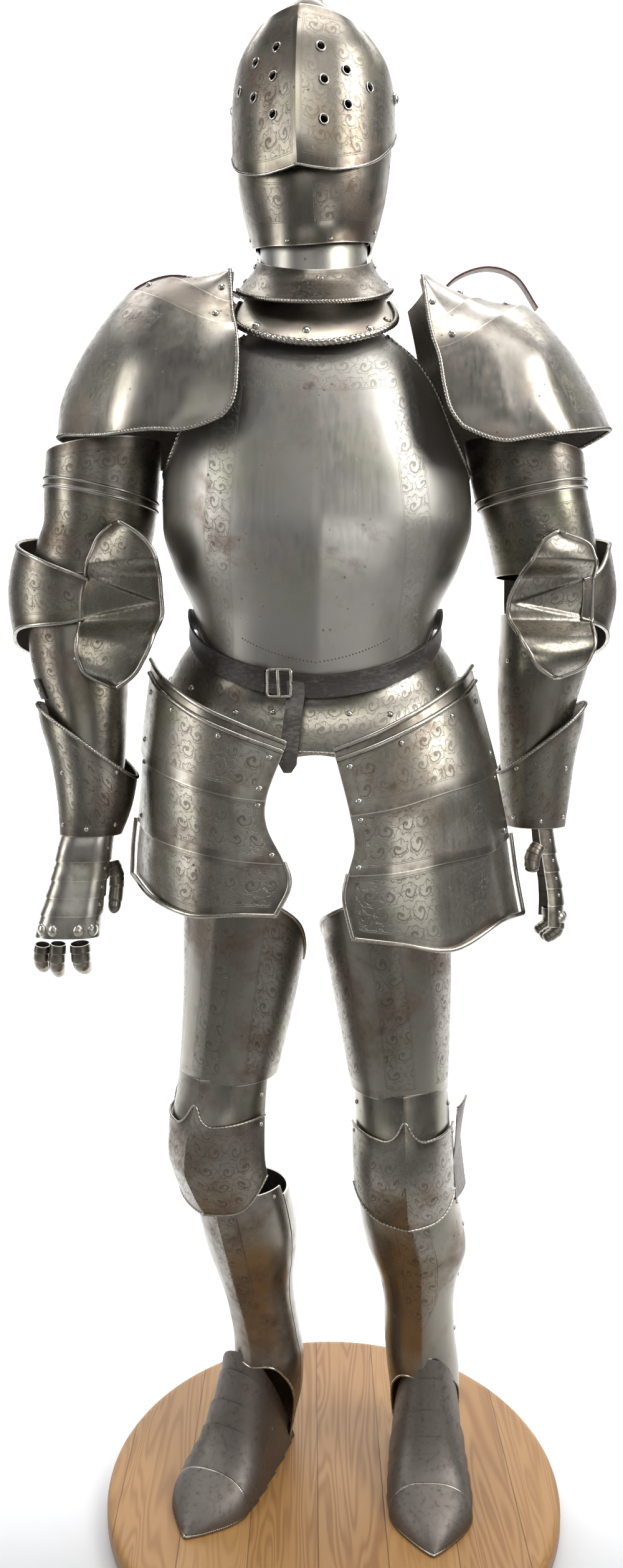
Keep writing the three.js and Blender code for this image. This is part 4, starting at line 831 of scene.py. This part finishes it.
# Nets of the tassets: rows from the belt down, points x, y, z from the fork outwards.
TASSET = {
    "R": [[[-57, -154, 1024], [-110, -149, 1045], [-162, -126, 1068], [-204, -80, 1096], [-228, -8, 1118]],
          [[-79, -164, 966], [-122, -160, 972], [-170, -140, 984], [-216, -92, 1000], [-242, -10, 1014]],
          [[-79, -168, 932], [-119, -164, 936], [-168, -147, 945], [-218, -97, 956], [-246, -11, 966]],
          [[-60, -171, 893], [-112, -169, 897], [-166, -152, 905], [-219, -100, 914], [-250, -12, 922]],
          [[-54, -173, 866], [-110, -172, 866], [-166, -156, 871], [-221, -103, 880], [-254, -13, 888]],
          [[-70, -174, 832], [-112, -174, 833], [-166, -160, 830], [-216, -112, 840], [-256, -14, 851]]],
    "L": [[[-4, -154, 1016], [46, -150, 1036], [98, -127, 1062], [144, -80, 1090], [170, -8, 1110]],
          [[13, -166, 950], [66, -163, 960], [120, -142, 975], [172, -94, 986], [202, -10, 994]],
          [[19, -170, 912], [68, -168, 918], [122, -148, 930], [178, -99, 940], [213, -11, 946]],
          [[12, -173, 880], [66, -172, 884], [124, -153, 893], [184, -104, 898], [222, -12, 902]],
          [[8, -175, 850], [64, -175, 846], [126, -158, 842], [190, -108, 846], [230, -13, 850]],
          [[18, -176, 806], [70, -176, 800], [134, -160, 790], [196, -112, 812], [240, -14, 800]]]}
for S in "RL":
    T, flip, body = TASSET[S], (-1 if S == "R" else 1), "tassets_" + S
    U = np.linspace(0, 1, 81)
    for name, v, off in (("upper", (0, 0.225), 0), ("middle", (0.195, 0.62), -3), ("lower", (0.59, 1), -6)):
        plate(f"tasset_{name}_{S}", net(T, U, np.linspace(*v, 30)), body=body, flip=flip, off=off,
            panel=inset(10 if name != "upper" else 14))
    low, top = net(T, U, [1.0])[0], net(T, U, [0.0])[0]
    rows = net(T, np.array([0.0, 1.0]), np.linspace(0.6, 1, 24))
    under = lambda p: p + np.array([0, 4.6, 0])
    border(f"tasset_rim_{S}", [(under(np.concatenate([rows[:, 0], low[1:-1], rows[::-1, 1]])), False),
        (top + (0, -1.2, 1.6), False), (net(T, U, [0.028])[0] + (0, -1.6, 0), False)], body=body, radius=3.0,
        lobe=0.0)
    pins = [(*on_net(T, u, v, flip), 3.8) for u, v in ((0.06, 0.06), (0.93, 0.06), (0.35, 0.05), (0.65, 0.05),
        (0.06, 0.17), (0.93, 0.17))]
    points_on(RIVET, f"tasset_pins_{S}", pins + [(*on_net(T, u, v, flip, -2.4), 3.4) for u,
        v in ((0.05, 0.56), (0.94, 0.56), (0.05, 0.25), (0.94, 0.25))], body=body)

# ------------------------------------------------------------------ gorget and helmet
HEAD_YAW, PIVOT_Z = 9, 1772
NECK = [[1640, -26, 10, 64.5, 74.5, 70, 0], [1560, -26, 10, 64.5, 74.5, 71, 0]]
GORGET = [[0, -25, 12, 62, 72, 68, 0], [-28, -25, 13, 78, 88, 80, 0], [-50, -25, 14, 100, 110, 94, 0],
    [-70, -25, 15, 132, 132, 110, 0], [-92, -24, 16, 164, 149, 124, 0]]
COLLAR = [[0, -25, 11, 70, 81, 78, 0], [-14, -25, 11, 75, 87, 83, 0], [-30, -25, 11, 88, 101, 93, 0],
    [-48, -25, 11, 105, 121, 108, 0]]
dip = lambda a: np.maximum(0, np.cos(np.asarray(a, float) * RAD))
A = np.linspace(-180, 180, 145)[:-1]
plate("neck_band", cut(ring(NECK, HEAD_YAW), A, [[-180, 1624], [-90, 1624], [-45, 1610], [0, 1602], [45, 1610],
    [90, 1624], [180, 1624]],
                       [[-180, 1584], [-90, 1584], [-45, 1560], [0, 1550], [45, 1560], [90, 1584], [180, 1584]],
                       8), CHEST, closed=True)
gorget = ring(GORGET, lift=lambda a: 1592 - 38 * dip(a))
hem = [[-180, -84], [-120, -52], [-90, -42], [-70, -51], [-45, -66], [-25, -79], [0, -90], [25, -79], [45, -66],
    [70, -51], [90, -42], [120, -52], [180, -84]]
plate("gorget_plate", cut(gorget, A, -10, hem, 22), BROWNED, slot="dark_steel", closed=True)
border("gorget_rope", [(gorget(A, read(hem, A, 1)) + (0, 0, 1), True)], radius=4.0, pitch=20)
collar = ring(COLLAR, lift=lambda a: 1603 - 40 * dip(a))
low = [[-180, -36], [-90, -36], [0, -48], [90, -36], [180, -36]]
plate("gorget_collar", cut(collar, A, 0, low, 17), HELM_STEEL, slot="dark_steel", closed=True, panel=lambda u,
    v, rim, U, V: rim - 5)
border("collar_rope", [(collar(A, read(low, A, 1)), True)], radius=2.6, pitch=12)
for a, z in ((-4, -72), (28, -70), (48, -58), (-32, -66)):
    dark_rivets.append((*on_ring(gorget, a, z), 5.0))
dark_rivets += [(*on_ring(collar, a, -11), 2.2) for a in (2, 6)] + [(*on_ring(collar, a, z), 3.6) for a,
    z in ((-88, -26), (-82, -8), (84, -8), (88, -28))]

SKULL = [
    [1881, -22, 2, 1, 4, 4, 0], [1878, -22, 2, 9, 30, 30, 0], [1868, -24, 2, 17, 52, 54, 0],
    [1859, -25, 2, 29, 65, 67, 0], [1849, -26, 2, 44, 76, 78, 0],
    [1832, -26, 2, 64, 89, 92, 0], [1805, -26, 2, 82, 101, 104, 0], [1770, -26, 2, 91, 105, 109, 0],
    [1733, -26, 2, 91, 104, 109, 0],
    [1690, -26, 3, 88, 100, 104, 0], [1657, -26, 4, 83, 97, 98, 0], [1630, -26, 6, 76, 90, 88, 0],
    [1610, -26, 9, 70, 84, 79, 0], [1575, -26, 10, 68, 79, 76, 0]]
VISOR = [
    [1834, -26, 2, 70, 97, 97, 3], [1805, -26, 2, 89, 108, 108, 9], [1770, -26, 2, 96, 114, 114, 12],
    [1733, -26, 2, 97, 116, 114, 14],
    [1690, -26, 2, 96, 115, 112, 14], [1660, -26, 2, 95, 112, 110, 9], [1640, -26, 2, 94, 110, 108, 5]]
skull, visor = ring(SKULL, HEAD_YAW), ring(VISOR, HEAD_YAW, 24)
low = [[-180, 1612], [-79, 1612], [-76.5, 1640], [-75, 1780], [-72, 1790], [-50, 1800], [0, 1804], [50, 1800],
    [72, 1790], [75, 1780], [76.5, 1640], [79, 1612], [180, 1612]]
A = np.concatenate([np.linspace(-180, -82, 40), np.linspace(-80, -70, 21), np.linspace(-68, 68, 56),
    np.linspace(70, 80, 21), np.linspace(82, 180, 40)[:-1]])
bottom = read(low, A, 1)
falls = np.concatenate([np.array([0, 0.012, 0.03, 0.06, 0.09, 0.125, 0.17, 0.22]), np.linspace(0.28, 1, 40)])
P = np.stack([skull(A, 1881 + (bottom - 1881) * v) for v in falls])
plate("helmet_skull", P, HELM_STEEL, closed=True, pole=True, thick=2.0, merge=True)
jaw = [[-87, 1738], [-74, 1718], [-55, 1692], [-38, 1676], [0, 1664], [38, 1676], [55, 1692], [74, 1718],
    [87, 1738]]
chin = [[-87, 1614], [-45, 1598], [0, 1589], [45, 1598], [87, 1614]]
plate("bevor", cut(skull, np.linspace(-87, 87, 97), jaw, chin, 43), HELM_STEEL, thick=1.9, off=3.28,
      panel=lambda u, v, rim, U, V: np.minimum(np.minimum(np.abs(u) - 13, 88 - np.abs(u)),
      np.minimum(v - 14, V - v - 24)))
crown = [[-98, 1798], [-80, 1814], [-40, 1828], [0, 1833], [40, 1828], [80, 1814], [98, 1798]]
lip = [[-98, 1742], [-90, 1728], [-77, 1708], [-55, 1677], [-38, 1663], [-20, 1656], [-10, 1656], [0, 1657],
    [10, 1656], [20, 1656], [38, 1663], [55, 1677], [77, 1708], [90, 1728], [98, 1742]]
BREATHS = ((15, 1785, 1782), (17, 1755, 1747), (17, 1715, 1706), (32, 1778, 1762), (33, 1741, 1726),
    (50, 1760, 1753))
HOLES = [(a * m, z) for a, right, left in BREATHS for m, z in ((-1, right), (1, left))]
face = plate("visor", cut(visor, np.linspace(-98, 98, 121), crown, lip, 65), HELM_STEEL, body="visor",
    thick=2.0, panel=lambda u, v, rim, U, V: np.minimum(rim - 13, np.abs(u) - 5))
cutters = bmesh.new()
for a, z in HOLES:
    p, n = on_ring(visor, a, z)
    q = Vector(n).to_track_quat("Z", "Y").to_matrix().to_4x4()
    q.translation = Vector(p) * MM
    bmesh.ops.create_cone(cutters, cap_ends=True, segments=24, radius1=4.2 * MM, radius2=4.2 * MM,
        depth=16 * MM, matrix=q)
me = bpy.data.meshes.new("breaths"); cutters.to_mesh(me); cutters.free()
holes = bpy.data.objects.new("breaths", me)
bpy.context.scene.collection.objects.link(holes)
mod = face.modifiers.new("breaths", "BOOLEAN")
mod.operation, mod.object, mod.solver = "DIFFERENCE", holes, "EXACT"
bpy.context.view_layer.update()
deps = bpy.context.evaluated_depsgraph_get()
me = bpy.data.meshes.new_from_object(face.evaluated_get(deps), depsgraph=deps)
face.modifiers.remove(mod)
face.data = me
bpy.data.objects.remove(holes)
points_on(EYELET, "breath_rims", [(*on_ring(visor, a, z, 0.4), 5.0) for a, z in HOLES], body="visor")
points_on(RIVET, "visor_pivots", [(*on_ring(visor, a, PIVOT_Z, 1.0), 7.5) for a in (-88, 88)], body="visor")
A = np.linspace(-97, 97, 150)
border("visor_rims", [(visor(A, read(lip, A, 1) + 0.8), False)], body="visor", radius=1.6, lobe=0.0,
    look=BRIGHT)
dark_rivets += [(*on_ring(skull, a, 1594 + abs(a) * 0.1, 3.3), 2.4)
    for a in (-15, 26)] + [(*on_ring(skull, a, 1622, 3.3), 2.6) for a in (-80, 80)]
border("helmet_comb", [(skull(np.full(30, 180.0), np.linspace(1640, 1870, 30)), False)], radius=1.5, lobe=0.0,
    look=HELM_STEEL)

# ------------------------------------------------------------------ arms
# Nets of the shoulder plates: rows from the neck outwards, points x, y, z from front to back.
PAULDRON = {
    "R": [[[-122, -74, 1562], [-130, -62, 1569], [-137, -36, 1576], [-139, 2, 1580], [-136, 48, 1580],
          [-126, 84, 1568]],
          [[-118, -100, 1512], [-156, -82, 1536], [-190, -42, 1563], [-206, 5, 1576], [-186, 62, 1560],
          [-130, 98, 1524]],
          [[-112, -124, 1478], [-158, -110, 1497], [-212, -70, 1530], [-250, 0, 1554], [-214, 82, 1530],
          [-130, 118, 1490]],
          [[-111, -134, 1438], [-168, -130, 1448], [-240, -92, 1475], [-300, 0, 1492], [-240, 98, 1475],
          [-132, 128, 1440]],
          [[-118, -140, 1397], [-176, -138, 1398], [-255, -106, 1412], [-330, 0, 1434], [-255, 108, 1412],
          [-136, 132, 1400]],
          [[-152, -138, 1366], [-202, -133, 1373], [-264, -104, 1373], [-338, 0, 1388], [-262, 108, 1374],
          [-150, 130, 1368]]],
    "L": [[[98, -72, 1556], [105, -62, 1564], [112, -36, 1572], [114, 2, 1576], [110, 48, 1576],
          [100, 84, 1564]],
          [[104, -112, 1487], [130, -100, 1506], [160, -60, 1534], [186, 2, 1550], [166, 66, 1540],
          [110, 100, 1508]],
          [[113, -126, 1451], [162, -112, 1484], [200, -70, 1514], [230, 0, 1540], [198, 82, 1520],
          [115, 118, 1478]],
          [[118, -134, 1417], [182, -126, 1440], [235, -92, 1472], [278, 0, 1490], [228, 98, 1470],
          [120, 128, 1430]],
          [[128, -140, 1386], [192, -137, 1394], [250, -108, 1420], [312, 0, 1440], [250, 108, 1412],
          [125, 132, 1396]],
          [[160, -138, 1353], [212, -132, 1364], [270, -110, 1375], [334, 0, 1396], [262, 108, 1372],
          [136, 130, 1362]]]}
ARM = {
    "R": [[1400, -284, 10, 70, 74, 76], [1360, -286, 12, 70, 75, 77], [1320, -290, 14, 70, 74, 76],
          [1289, -292, 15, 69, 73, 75], [1262, -300, 17, 71, 71, 75], [1220, -306, 18, 69, 68, 73]],
    "L": [[1400, 228, 10, 72, 72, 74], [1360, 236, 12, 71, 72, 74], [1320, 243, 14, 69, 71, 73],
          [1289, 252, 15, 67, 70, 72], [1262, 259, 17, 66, 69, 72], [1220, 266, 18, 64, 66, 70]]}
ELBOW = {
    "R": [[1290, -302, 22, 80, 84, 84], [1250, -310, 24, 90, 84, 92], [1200, -318, 26, 92, 82, 98],
          [1160, -318, 24, 88, 80, 92], [1120, -316, 20, 78, 76, 82]],
    "L": [[1290, 257, 22, 78, 80, 84], [1250, 262, 24, 84, 82, 90], [1200, 266, 26, 88, 82, 96],
          [1160, 265, 24, 82, 80, 90], [1120, 262, 20, 74, 76, 80]]}
FOREARM = {
    "R": [[1185, -322, 16, 64, 64, 66], [1150, -320, 10, 63, 62, 64], [1100, -316, 0, 58, 56, 58],
          [1060, -307, -14, 49, 48, 49], [1015, -301, -28, 43, 42, 43], [975, -297, -37, 37, 36, 36],
          [940, -295, -43, 33, 32, 32]],
    "L": [[1185, 270, 16, 61, 62, 66], [1150, 268, 12, 60, 62, 64], [1100, 260, 10, 54, 56, 58],
          [1060, 255, 12, 48, 48, 49], [1015, 253, 16, 43, 42, 43], [975, 252, 20, 38, 36, 36],
          [940, 254, 22, 33, 32, 32]]}
CUFF = {
    "R": [[1075, -304, -16, 64, 62, 66], [1043, -302, -22, 61, 58, 62], [1011, -298, -32, 54, 52, 53],
          [967, -293, -40, 49, 47, 46], [937, -294, -46, 44, 42, 40], [905, -299, -51, 37, 34, 32]],
    "L": [[1075, 264, 14, 53, 58, 62], [1043, 262, 15, 53, 55, 58], [1011, 259, 18, 50, 50, 51],
          [975, 257, 20, 47, 46, 46], [937, 257, 21, 43, 41, 40], [899, 259, 22, 37, 35, 33]]}
# Elbow fans. Columns: z, inner x, outer x, swell.
FAN = {
    "R": [[1277, -250, -262, 0], [1266, -232, -276, 5], [1245, -212, -288, 9], [1218, -206, -299, 8],
          [1196, -205, -305, 3], [1176, -204, -306, 0],
          [1152, -210, -306, 4], [1120, -222, -304, 9], [1098, -238, -290, 6], [1087, -254, -266, 0]],
    "L": [[1266, 254, 268, 0], [1257, 240, 292, 5], [1240, 229, 304, 9], [1214, 215, 309, 8],
          [1192, 205, 309, 3], [1176, 203, 309, 0],
          [1154, 209, 307, 4], [1126, 222, 301, 9], [1108, 236, 288, 6], [1098, 252, 264, 0]]}
ropes = []  # roped borders of the arms, made as one piece
for S in "RL":
    m, T = (-1 if S == "R" else 1), PAULDRON[S]
    U = np.linspace(0, 1, 121)
    for name, v, off, k in (("upper", (0, 0.195), -5.4, 24), ("lame", (0.18, 0.395), -2, 24),
            ("main", (0.38, 1), 1.4, 60)):
        panel = (lambda u, v, rim, U, V: np.minimum(rim - 20, 118 - np.abs(u))) if name == "main" else None
        plate(f"pauldron_{name}_{S}", rounded_net(T, U, np.linspace(*v, k), 0.13), SHOULDER, flip=m, off=off,
            thick=2.0 if name == "main" else 1.6, panel=panel)
    V = np.linspace(0, 1, 70)
    G = rounded_net(T, U, V, 0.13)
    ropes += [(np.concatenate([G[:, 0], G[-1, 1:-1], G[::-1, -1]]), False)]
    rivets += [(*on_net(T, 0.10, 0.10, m, -5.0), 4.2), (*on_net(T, 0.10, 0.30, m, -1.4), 4.2),
        (*on_net(T, 0.9, 0.10, m, -5.0), 4.2), (*on_net(T, 0.9, 0.30, m, -1.4), 4.2),
               (*on_net(T, 0.5, 0.11, m, -5.0), 4.0), (*on_net(T, 0.5, 0.31, m, -1.4), 4.0)]
    arm, elbow, fore, cuff = ring(ARM[S]), ring(ELBOW[S]), ring(FOREARM[S]), ring(CUFF[S])
    A = np.linspace(-180, 180, 97)[:-1]
    tilt = lambda front, s: (lambda a: front + s * np.sin(np.asarray(a) * RAD) * m)

    def tube(surface, T, B, rows):
        return np.stack([surface(A, T(A) + (B(A) - T(A)) * v) for v in np.linspace(0, 1, rows + 1)])

    k = 14 if S == "R" else 12
    plate(f"rerebrace_upper_{S}", tube(arm, tilt(1377, -8), tilt(1318, k), 24), ARM_STEEL, closed=True,
        panel=inset(13))
    plate(f"rerebrace_lower_{S}", tube(arm, tilt(1315, k), tilt(1222, 0), 30), ARM_STEEL, closed=True, off=-0.6,
        panel=inset(14))
    border(f"arm_beads_{S}", [(arm(A, tilt(1316.5, k)(A)), True), (arm(A, tilt(1326, k)(A)), True)], radius=1.9,
        lobe=0.0, look=ARM_STEEL)
    start = -14 if S == "R" else 20
    order = lambda rows: [[a * m, z] for a, z in rows]
    Ae = np.linspace(start, 205, 81) if m > 0 else np.linspace(-205, -start, 81)
    top = order([[start, 1214], [start + 14, 1222], [60, 1254], [90, 1266], [150, 1278], [205, 1268]])
    bot = order([[start, 1168], [start + 14, 1164], [55, 1156], [90, 1136], [150, 1122], [205, 1130]])
    root = -53 if S == "R" else -45
    hem_y = [[1090, -74], [1145, -72], [1168, root], [1214, root], [1236, -68], [1280, -68]]
    z = np.linspace(FAN[S][0][0], FAN[S][-1][0], 120)
    t = np.linspace(0, 1, 61)
    a, b, h = [read(FAN[S], z, c)[:, None] for c in (1, 2, 3)]
    x = a + (b - a) * t
    up, dn = 1186 + 36 * t, 1184 - 18 * t
    fold = np.clip((z[:, None] - dn) / 5, 0, 1) * np.clip((up - z[:, None]) / 3.5, 0, 1)
    y = read(hem_y, z, 1)[:, None] - 26 * (1 - t) ** 0.8 - h * np.sin(math.pi * np.minimum(1,
        0.3 + t * 0.7)) + 4.5 * fold * np.sin(math.pi * np.clip(t * 0.9 + 0.08, 0, 1))
    W = np.stack([x, y, np.broadcast_to(z[:, None], x.shape)], -1)
    Sheet().wall(cut(elbow, Ae, top, bot, 29), panel=inset(12)).wall(W, flip=m,
        panel=inset(7)).piece(f"couter_{S}_fine", "suit", "steel", [f"couter_{S}"], ARM_STEEL)
    border(f"couter_rims_{S}", [(np.concatenate([W[:, 0], W[-1, 1:-1:4], W[::-1, -1]]), True),
        (elbow(Ae, edge(top)(Ae)), False), (elbow(Ae, edge(bot)(Ae)), False)], radius=2.7, lobe=0.0)
    dark_rivets.append((*on_ring(elbow, 95 * m, 1195, 0.4), 5.5))
    plate(f"vambrace_{S}", tube(fore, lambda a: 1176 + 0 * a, lambda a: 948 + 0 * a, 70), ARM_STEEL,
        closed=True, panel=lambda u, v, rim, U, V: np.minimum(rim - 12, 24 - np.abs(np.abs(u) - 40)))
    rivets += [(*on_ring(fore, s * 62 * m, zz), 3.0) for s,
        zz in ((1, 1118), (1, 1040), (-1, 1118), (-0.1, 1120))]
    up, down = tilt(1021, 45), (lambda a: 908 + 0 * a)
    plate(f"cuff_{S}", tube(cuff, up, down, 40), ARM_STEEL, closed=True, panel=inset(12))
    ropes.append((cuff(A, up(A)), True))
    rivets += [(*on_ring(cuff, s, zz), 3.0) for s, zz in ((-40, 985), (40, 985), (-50, 922), (50, 922),
        (0, 918))]
border("arm_ropes", ropes, radius=2.6, pitch=12)

# leather straps: over each shoulder, and the tab of the right vambrace
straps = Sheet()
for line, w in (([[-120, 62, 1574], [-160, 64, 1590], [-206, 62, 1596], [-246, 56, 1580], [-262, 50, 1556]], 8),
        ([[122, 66, 1566], [152, 66, 1598], [192, 64, 1610], [228, 58, 1596], [254, 50, 1556]], 7)):
    g = along(np.array(line, float), np.linspace(0, 1, 48))
    straps.wall(np.stack([g + (0, k * w, 0) for k in (-1, -0.4, 0.4, 1)], 1), thick=2.6)
straps.piece("shoulder_straps", "suit", "leather", [], RED_LEATHER)
tab = [ring(FOREARM["R"])(np.linspace(-96, -50, 16), z) for z in np.linspace(1096, 1072, 8)]
Sheet().wall(np.stack(tab), thick=2.2, off=3.0).piece("vambrace_tab", "suit", "leather", [], LEATHER)
rivets.append((*on_ring(ring(FOREARM["R"]), -58, 1084, 3.0), 3.4))

# ------------------------------------------------------------------ hands
# Hands: turn of the back of the hand, then rows z, x, y, half width, depth.
# TUBES: x, y, z, radius along each finger.
HAND = {
    "R": (0, [[930, -296, -46, 29, 26], [903, -303, -50, 32, 27], [872, -309, -52, 33, 24],
          [835, -317, -54, 35, 24], [800, -325, -55, 38, 25], [782, -328, -55, 39, 25]]),
    "L": (-88, [[930, 255, 19, 27, 22], [903, 258, 18, 31, 22], [880, 261, 18, 33, 22], [850, 266, 18, 34, 23],
          [822, 270, 18, 36, 24], [805, 271, 18, 37, 24]])}
TUBES = {
    "R": {"finger_1": [[-357, -68, 774, 10], [-360, -64, 752, 9], [-360, -46, 738, 7]],
          "finger_2": [[-337, -72, 776, 10.5], [-340, -69, 750, 9.5], [-341, -50, 732, 7]],
          "finger_3": [[-311, -71, 776, 13], [-310, -68, 752, 11], [-308, -48, 737, 8]],
          "thumb": [[-276, -34, 870, 9], [-270, -40, 848, 9.5], [-273, -50, 808, 8]]},
    "L": {"finger_1": [[283, -8, 798, 9], [283, -8, 778, 8.5], [267, -8, 765, 7]],
          "finger_2": [[286, 14, 798, 9], [285, 14, 776, 8.5], [267, 14, 762, 7]],
          "finger_3": [[284, 39, 797, 11], [283, 39, 777, 9.5], [265, 39, 764, 7]],
          "thumb": [[254, -27, 890, 9], [246, -31, 876, 10], [245, -33, 856, 8.5]]}}
for S in "RL":
    yaw, rows = HAND[S]
    c, s = math.cos(yaw * RAD), math.sin(yaw * RAD)
    A = np.linspace(-90, 90, 49)

    def back_of_hand(z, grow=0.0):
        x, y, w, d = [read(rows, z, k) for k in (1, 2, 3, 4)]
        px, py = (w + grow) * np.sign(A) * np.abs(np.sin(A * RAD)) ** 0.7, -(d
            + grow) * np.abs(np.cos(A * RAD)) ** 0.8
        return np.stack([x + px * c + py * s, y - px * s + py * c, z + 0 * A], -1)

    lames = Sheet()
    drop = lambda z: min(z, 903 - (903 - z) * (902 - rows[-1][0]) / 120)
    for a, b in ((926, 876), (880, 853), (857, 832), (836, 810), (814, 783)):
        a, b = drop(a), drop(b)
        lames.wall(np.stack([back_of_hand(z, g) for z, g in zip(np.linspace(a, b, 14),
            np.linspace(-0.6, 1.4, 14))]), thick=1.2)
        for k in (8, 40):
            g = back_of_hand(min(a, 905) - 12, 0.6)
            d = g[k] - np.array([read(rows, a, 1), read(rows, a, 2), min(a, 905) - 12])
            rivets.append((g[k], d / np.linalg.norm(d), 2.2))
    lames.piece(f"hand_plate_{S}_fine", "suit", "steel", [f"hand_plate_{S}"],
        HAND_STEEL if S == "R" else ARM_STEEL)
    knuckles = []
    for n, at in enumerate((-50, -20, 18, 52)):
        g = back_of_hand(drop(793.0))
        i = int(np.argmin(np.abs(A - at)))
        d = g[i] - np.array([read(rows, drop(793.0), 1), read(rows, drop(793.0), 2), drop(793.0)])
        knuckles.append((g[i] - d / np.linalg.norm(d) * 1.5, d / np.linalg.norm(d), 8.5))
    points_on(RIVET, f"knuckles_{S}", knuckles, look=HAND_STEEL if S == "R" else ARM_STEEL)
    for name, line in TUBES[S].items():
        g = along(np.array(line, float), np.linspace(0, 1, 46))
        t = np.linspace(0, 1, 46)
        P = []
        for i, (x, y, z, r) in enumerate(g):
            d = g[min(i + 1, 45), :3] - g[max(i - 1, 0), :3]
            d = d / np.linalg.norm(d)
            e1 = np.array([1.0, 0, 0]) - d * d[0]; e1 = e1 / np.linalg.norm(e1)
            e2 = np.cross(d, e1)
            rr = r * (0.94 + 0.10 * ((t[i] * 4.999) % 1)) * math.sqrt(max(0.03,
                1 - max(0, (t[i] - 0.86) / 0.14) ** 2.2))
            P.append([[x, y, z] + rr * (math.cos(q) * e1 + math.sin(q) * e2)
                for q in np.linspace(0, 2 * math.pi, 25)[:-1]])
        plate(f"{name}_{S}", np.array(P), ARM_STEEL, closed=True, flip=-1, thick=1.2)

points_on(RIVET, "rivets", rivets)
points_on(RIVET, "large_rivets", dark_rivets, slot="dark_steel")

# ------------------------------------------------------------------ floor, light and camera
def stage_piece(name, V, F, look):
    me = bpy.data.meshes.new(name)
    me.from_pydata(V, [], F)
    me.materials.append(look)
    ob = bpy.data.objects.new(name, me)
    bpy.context.scene.collection.objects.link(ob)
    return ob


# The backdrop glows: painted light, brightest at the back and up the sweep. Its colour is painted shade, darker
# towards the front.
pale = Look("pale floor", Roughness=0.9, Specular_IOR_Level=0.1, Emission_Strength=0.9)
glow = pale.parts(pale.place())[1].ramp(-0.3, 0.7)
tone = pale.noise(pale.place(), 3.0, 2.0)
floor_look = pale.give(Base_Color=pale.mix((0.36, 0.36, 0.36), (0.82, 0.82, 0.82),
    (pale.parts(pale.place())[1] + tone * 0.05).ramp(-0.6, 0.5)),
    Emission_Color=pale.mix((0.02, 0.02, 0.02), (0.93, 0.95, 1.0), glow))
sweep = [(-2.2, 0.0)] + [(2.0 + 0.9 * math.sin(a), 0.9 - 0.9 * math.cos(a))
    for a in np.linspace(0, math.pi / 2, 14)] + [(2.9, 4.0)]
V = [(x, y, z - 0.0006) for y, z in sweep for x in (-4.0, 4.0)]
ground = stage_piece("backdrop", V, [(2 * i, 2 * i + 1, 2 * i + 3, 2 * i + 2) for i in range(len(sweep) - 1)],
    floor_look)
ground.data.shade_smooth()


def area(name, at, to, size, power, colour=(1, 1, 1)):
    lamp = bpy.data.lights.new(name, "AREA")
    lamp.shape, lamp.size, lamp.size_y, lamp.energy, lamp.color = "RECTANGLE", size[0], size[1], power, colour
    ob = bpy.data.objects.new(name, lamp)
    bpy.context.scene.collection.objects.link(ob)
    ob.location = at
    ob.rotation_euler = (Vector(to) - Vector(at)).to_track_quat("-Z", "Y").to_euler()
    return ob


area("window", (1.9, -0.9, 2.5), (0.0, 0.0, 1.3), (1.0, 1.6), 52)
area("left panel", (-2.1, -0.7, 1.7), (0.0, 0.0, 1.1), (0.7, 2.2), 20)
area("top panel", (0.2, -0.4, 3.3), (0.0, 0.0, 1.0), (1.6, 1.2), 26)
area("front fill", (-0.6, -3.8, 2.0), (0.0, 0.0, 0.9), (2.4, 2.8), 13)
area("back wash", (0.0, 1.2, 3.4), (0.0, 2.9, 1.2), (3.6, 0.8), 90)
area("low wash", (0.9, -1.5, 0.9), (0.0, 0.0, 0.0), (0.8, 0.5), 4)

world = bpy.data.worlds.new("studio")
world.use_nodes = True
world.node_tree.nodes["Background"].inputs[0].default_value = (0.92, 0.95, 1.0, 1)
world.node_tree.nodes["Background"].inputs[1].default_value = 0.13
bpy.context.scene.world = world
bpy.context.scene.view_settings.view_transform = "Standard"

eye = bpy.data.cameras.new("eye")
eye.lens, eye.sensor_width, eye.sensor_fit = 25.67, 36, "AUTO"
camera = bpy.data.objects.new("eye", eye)
camera.location = (-0.029, -1.404, 1.111)
camera.rotation_euler = ((90 - 6) * RAD, 0, 0)
bpy.context.scene.collection.objects.link(camera)
bpy.context.scene.camera = camera
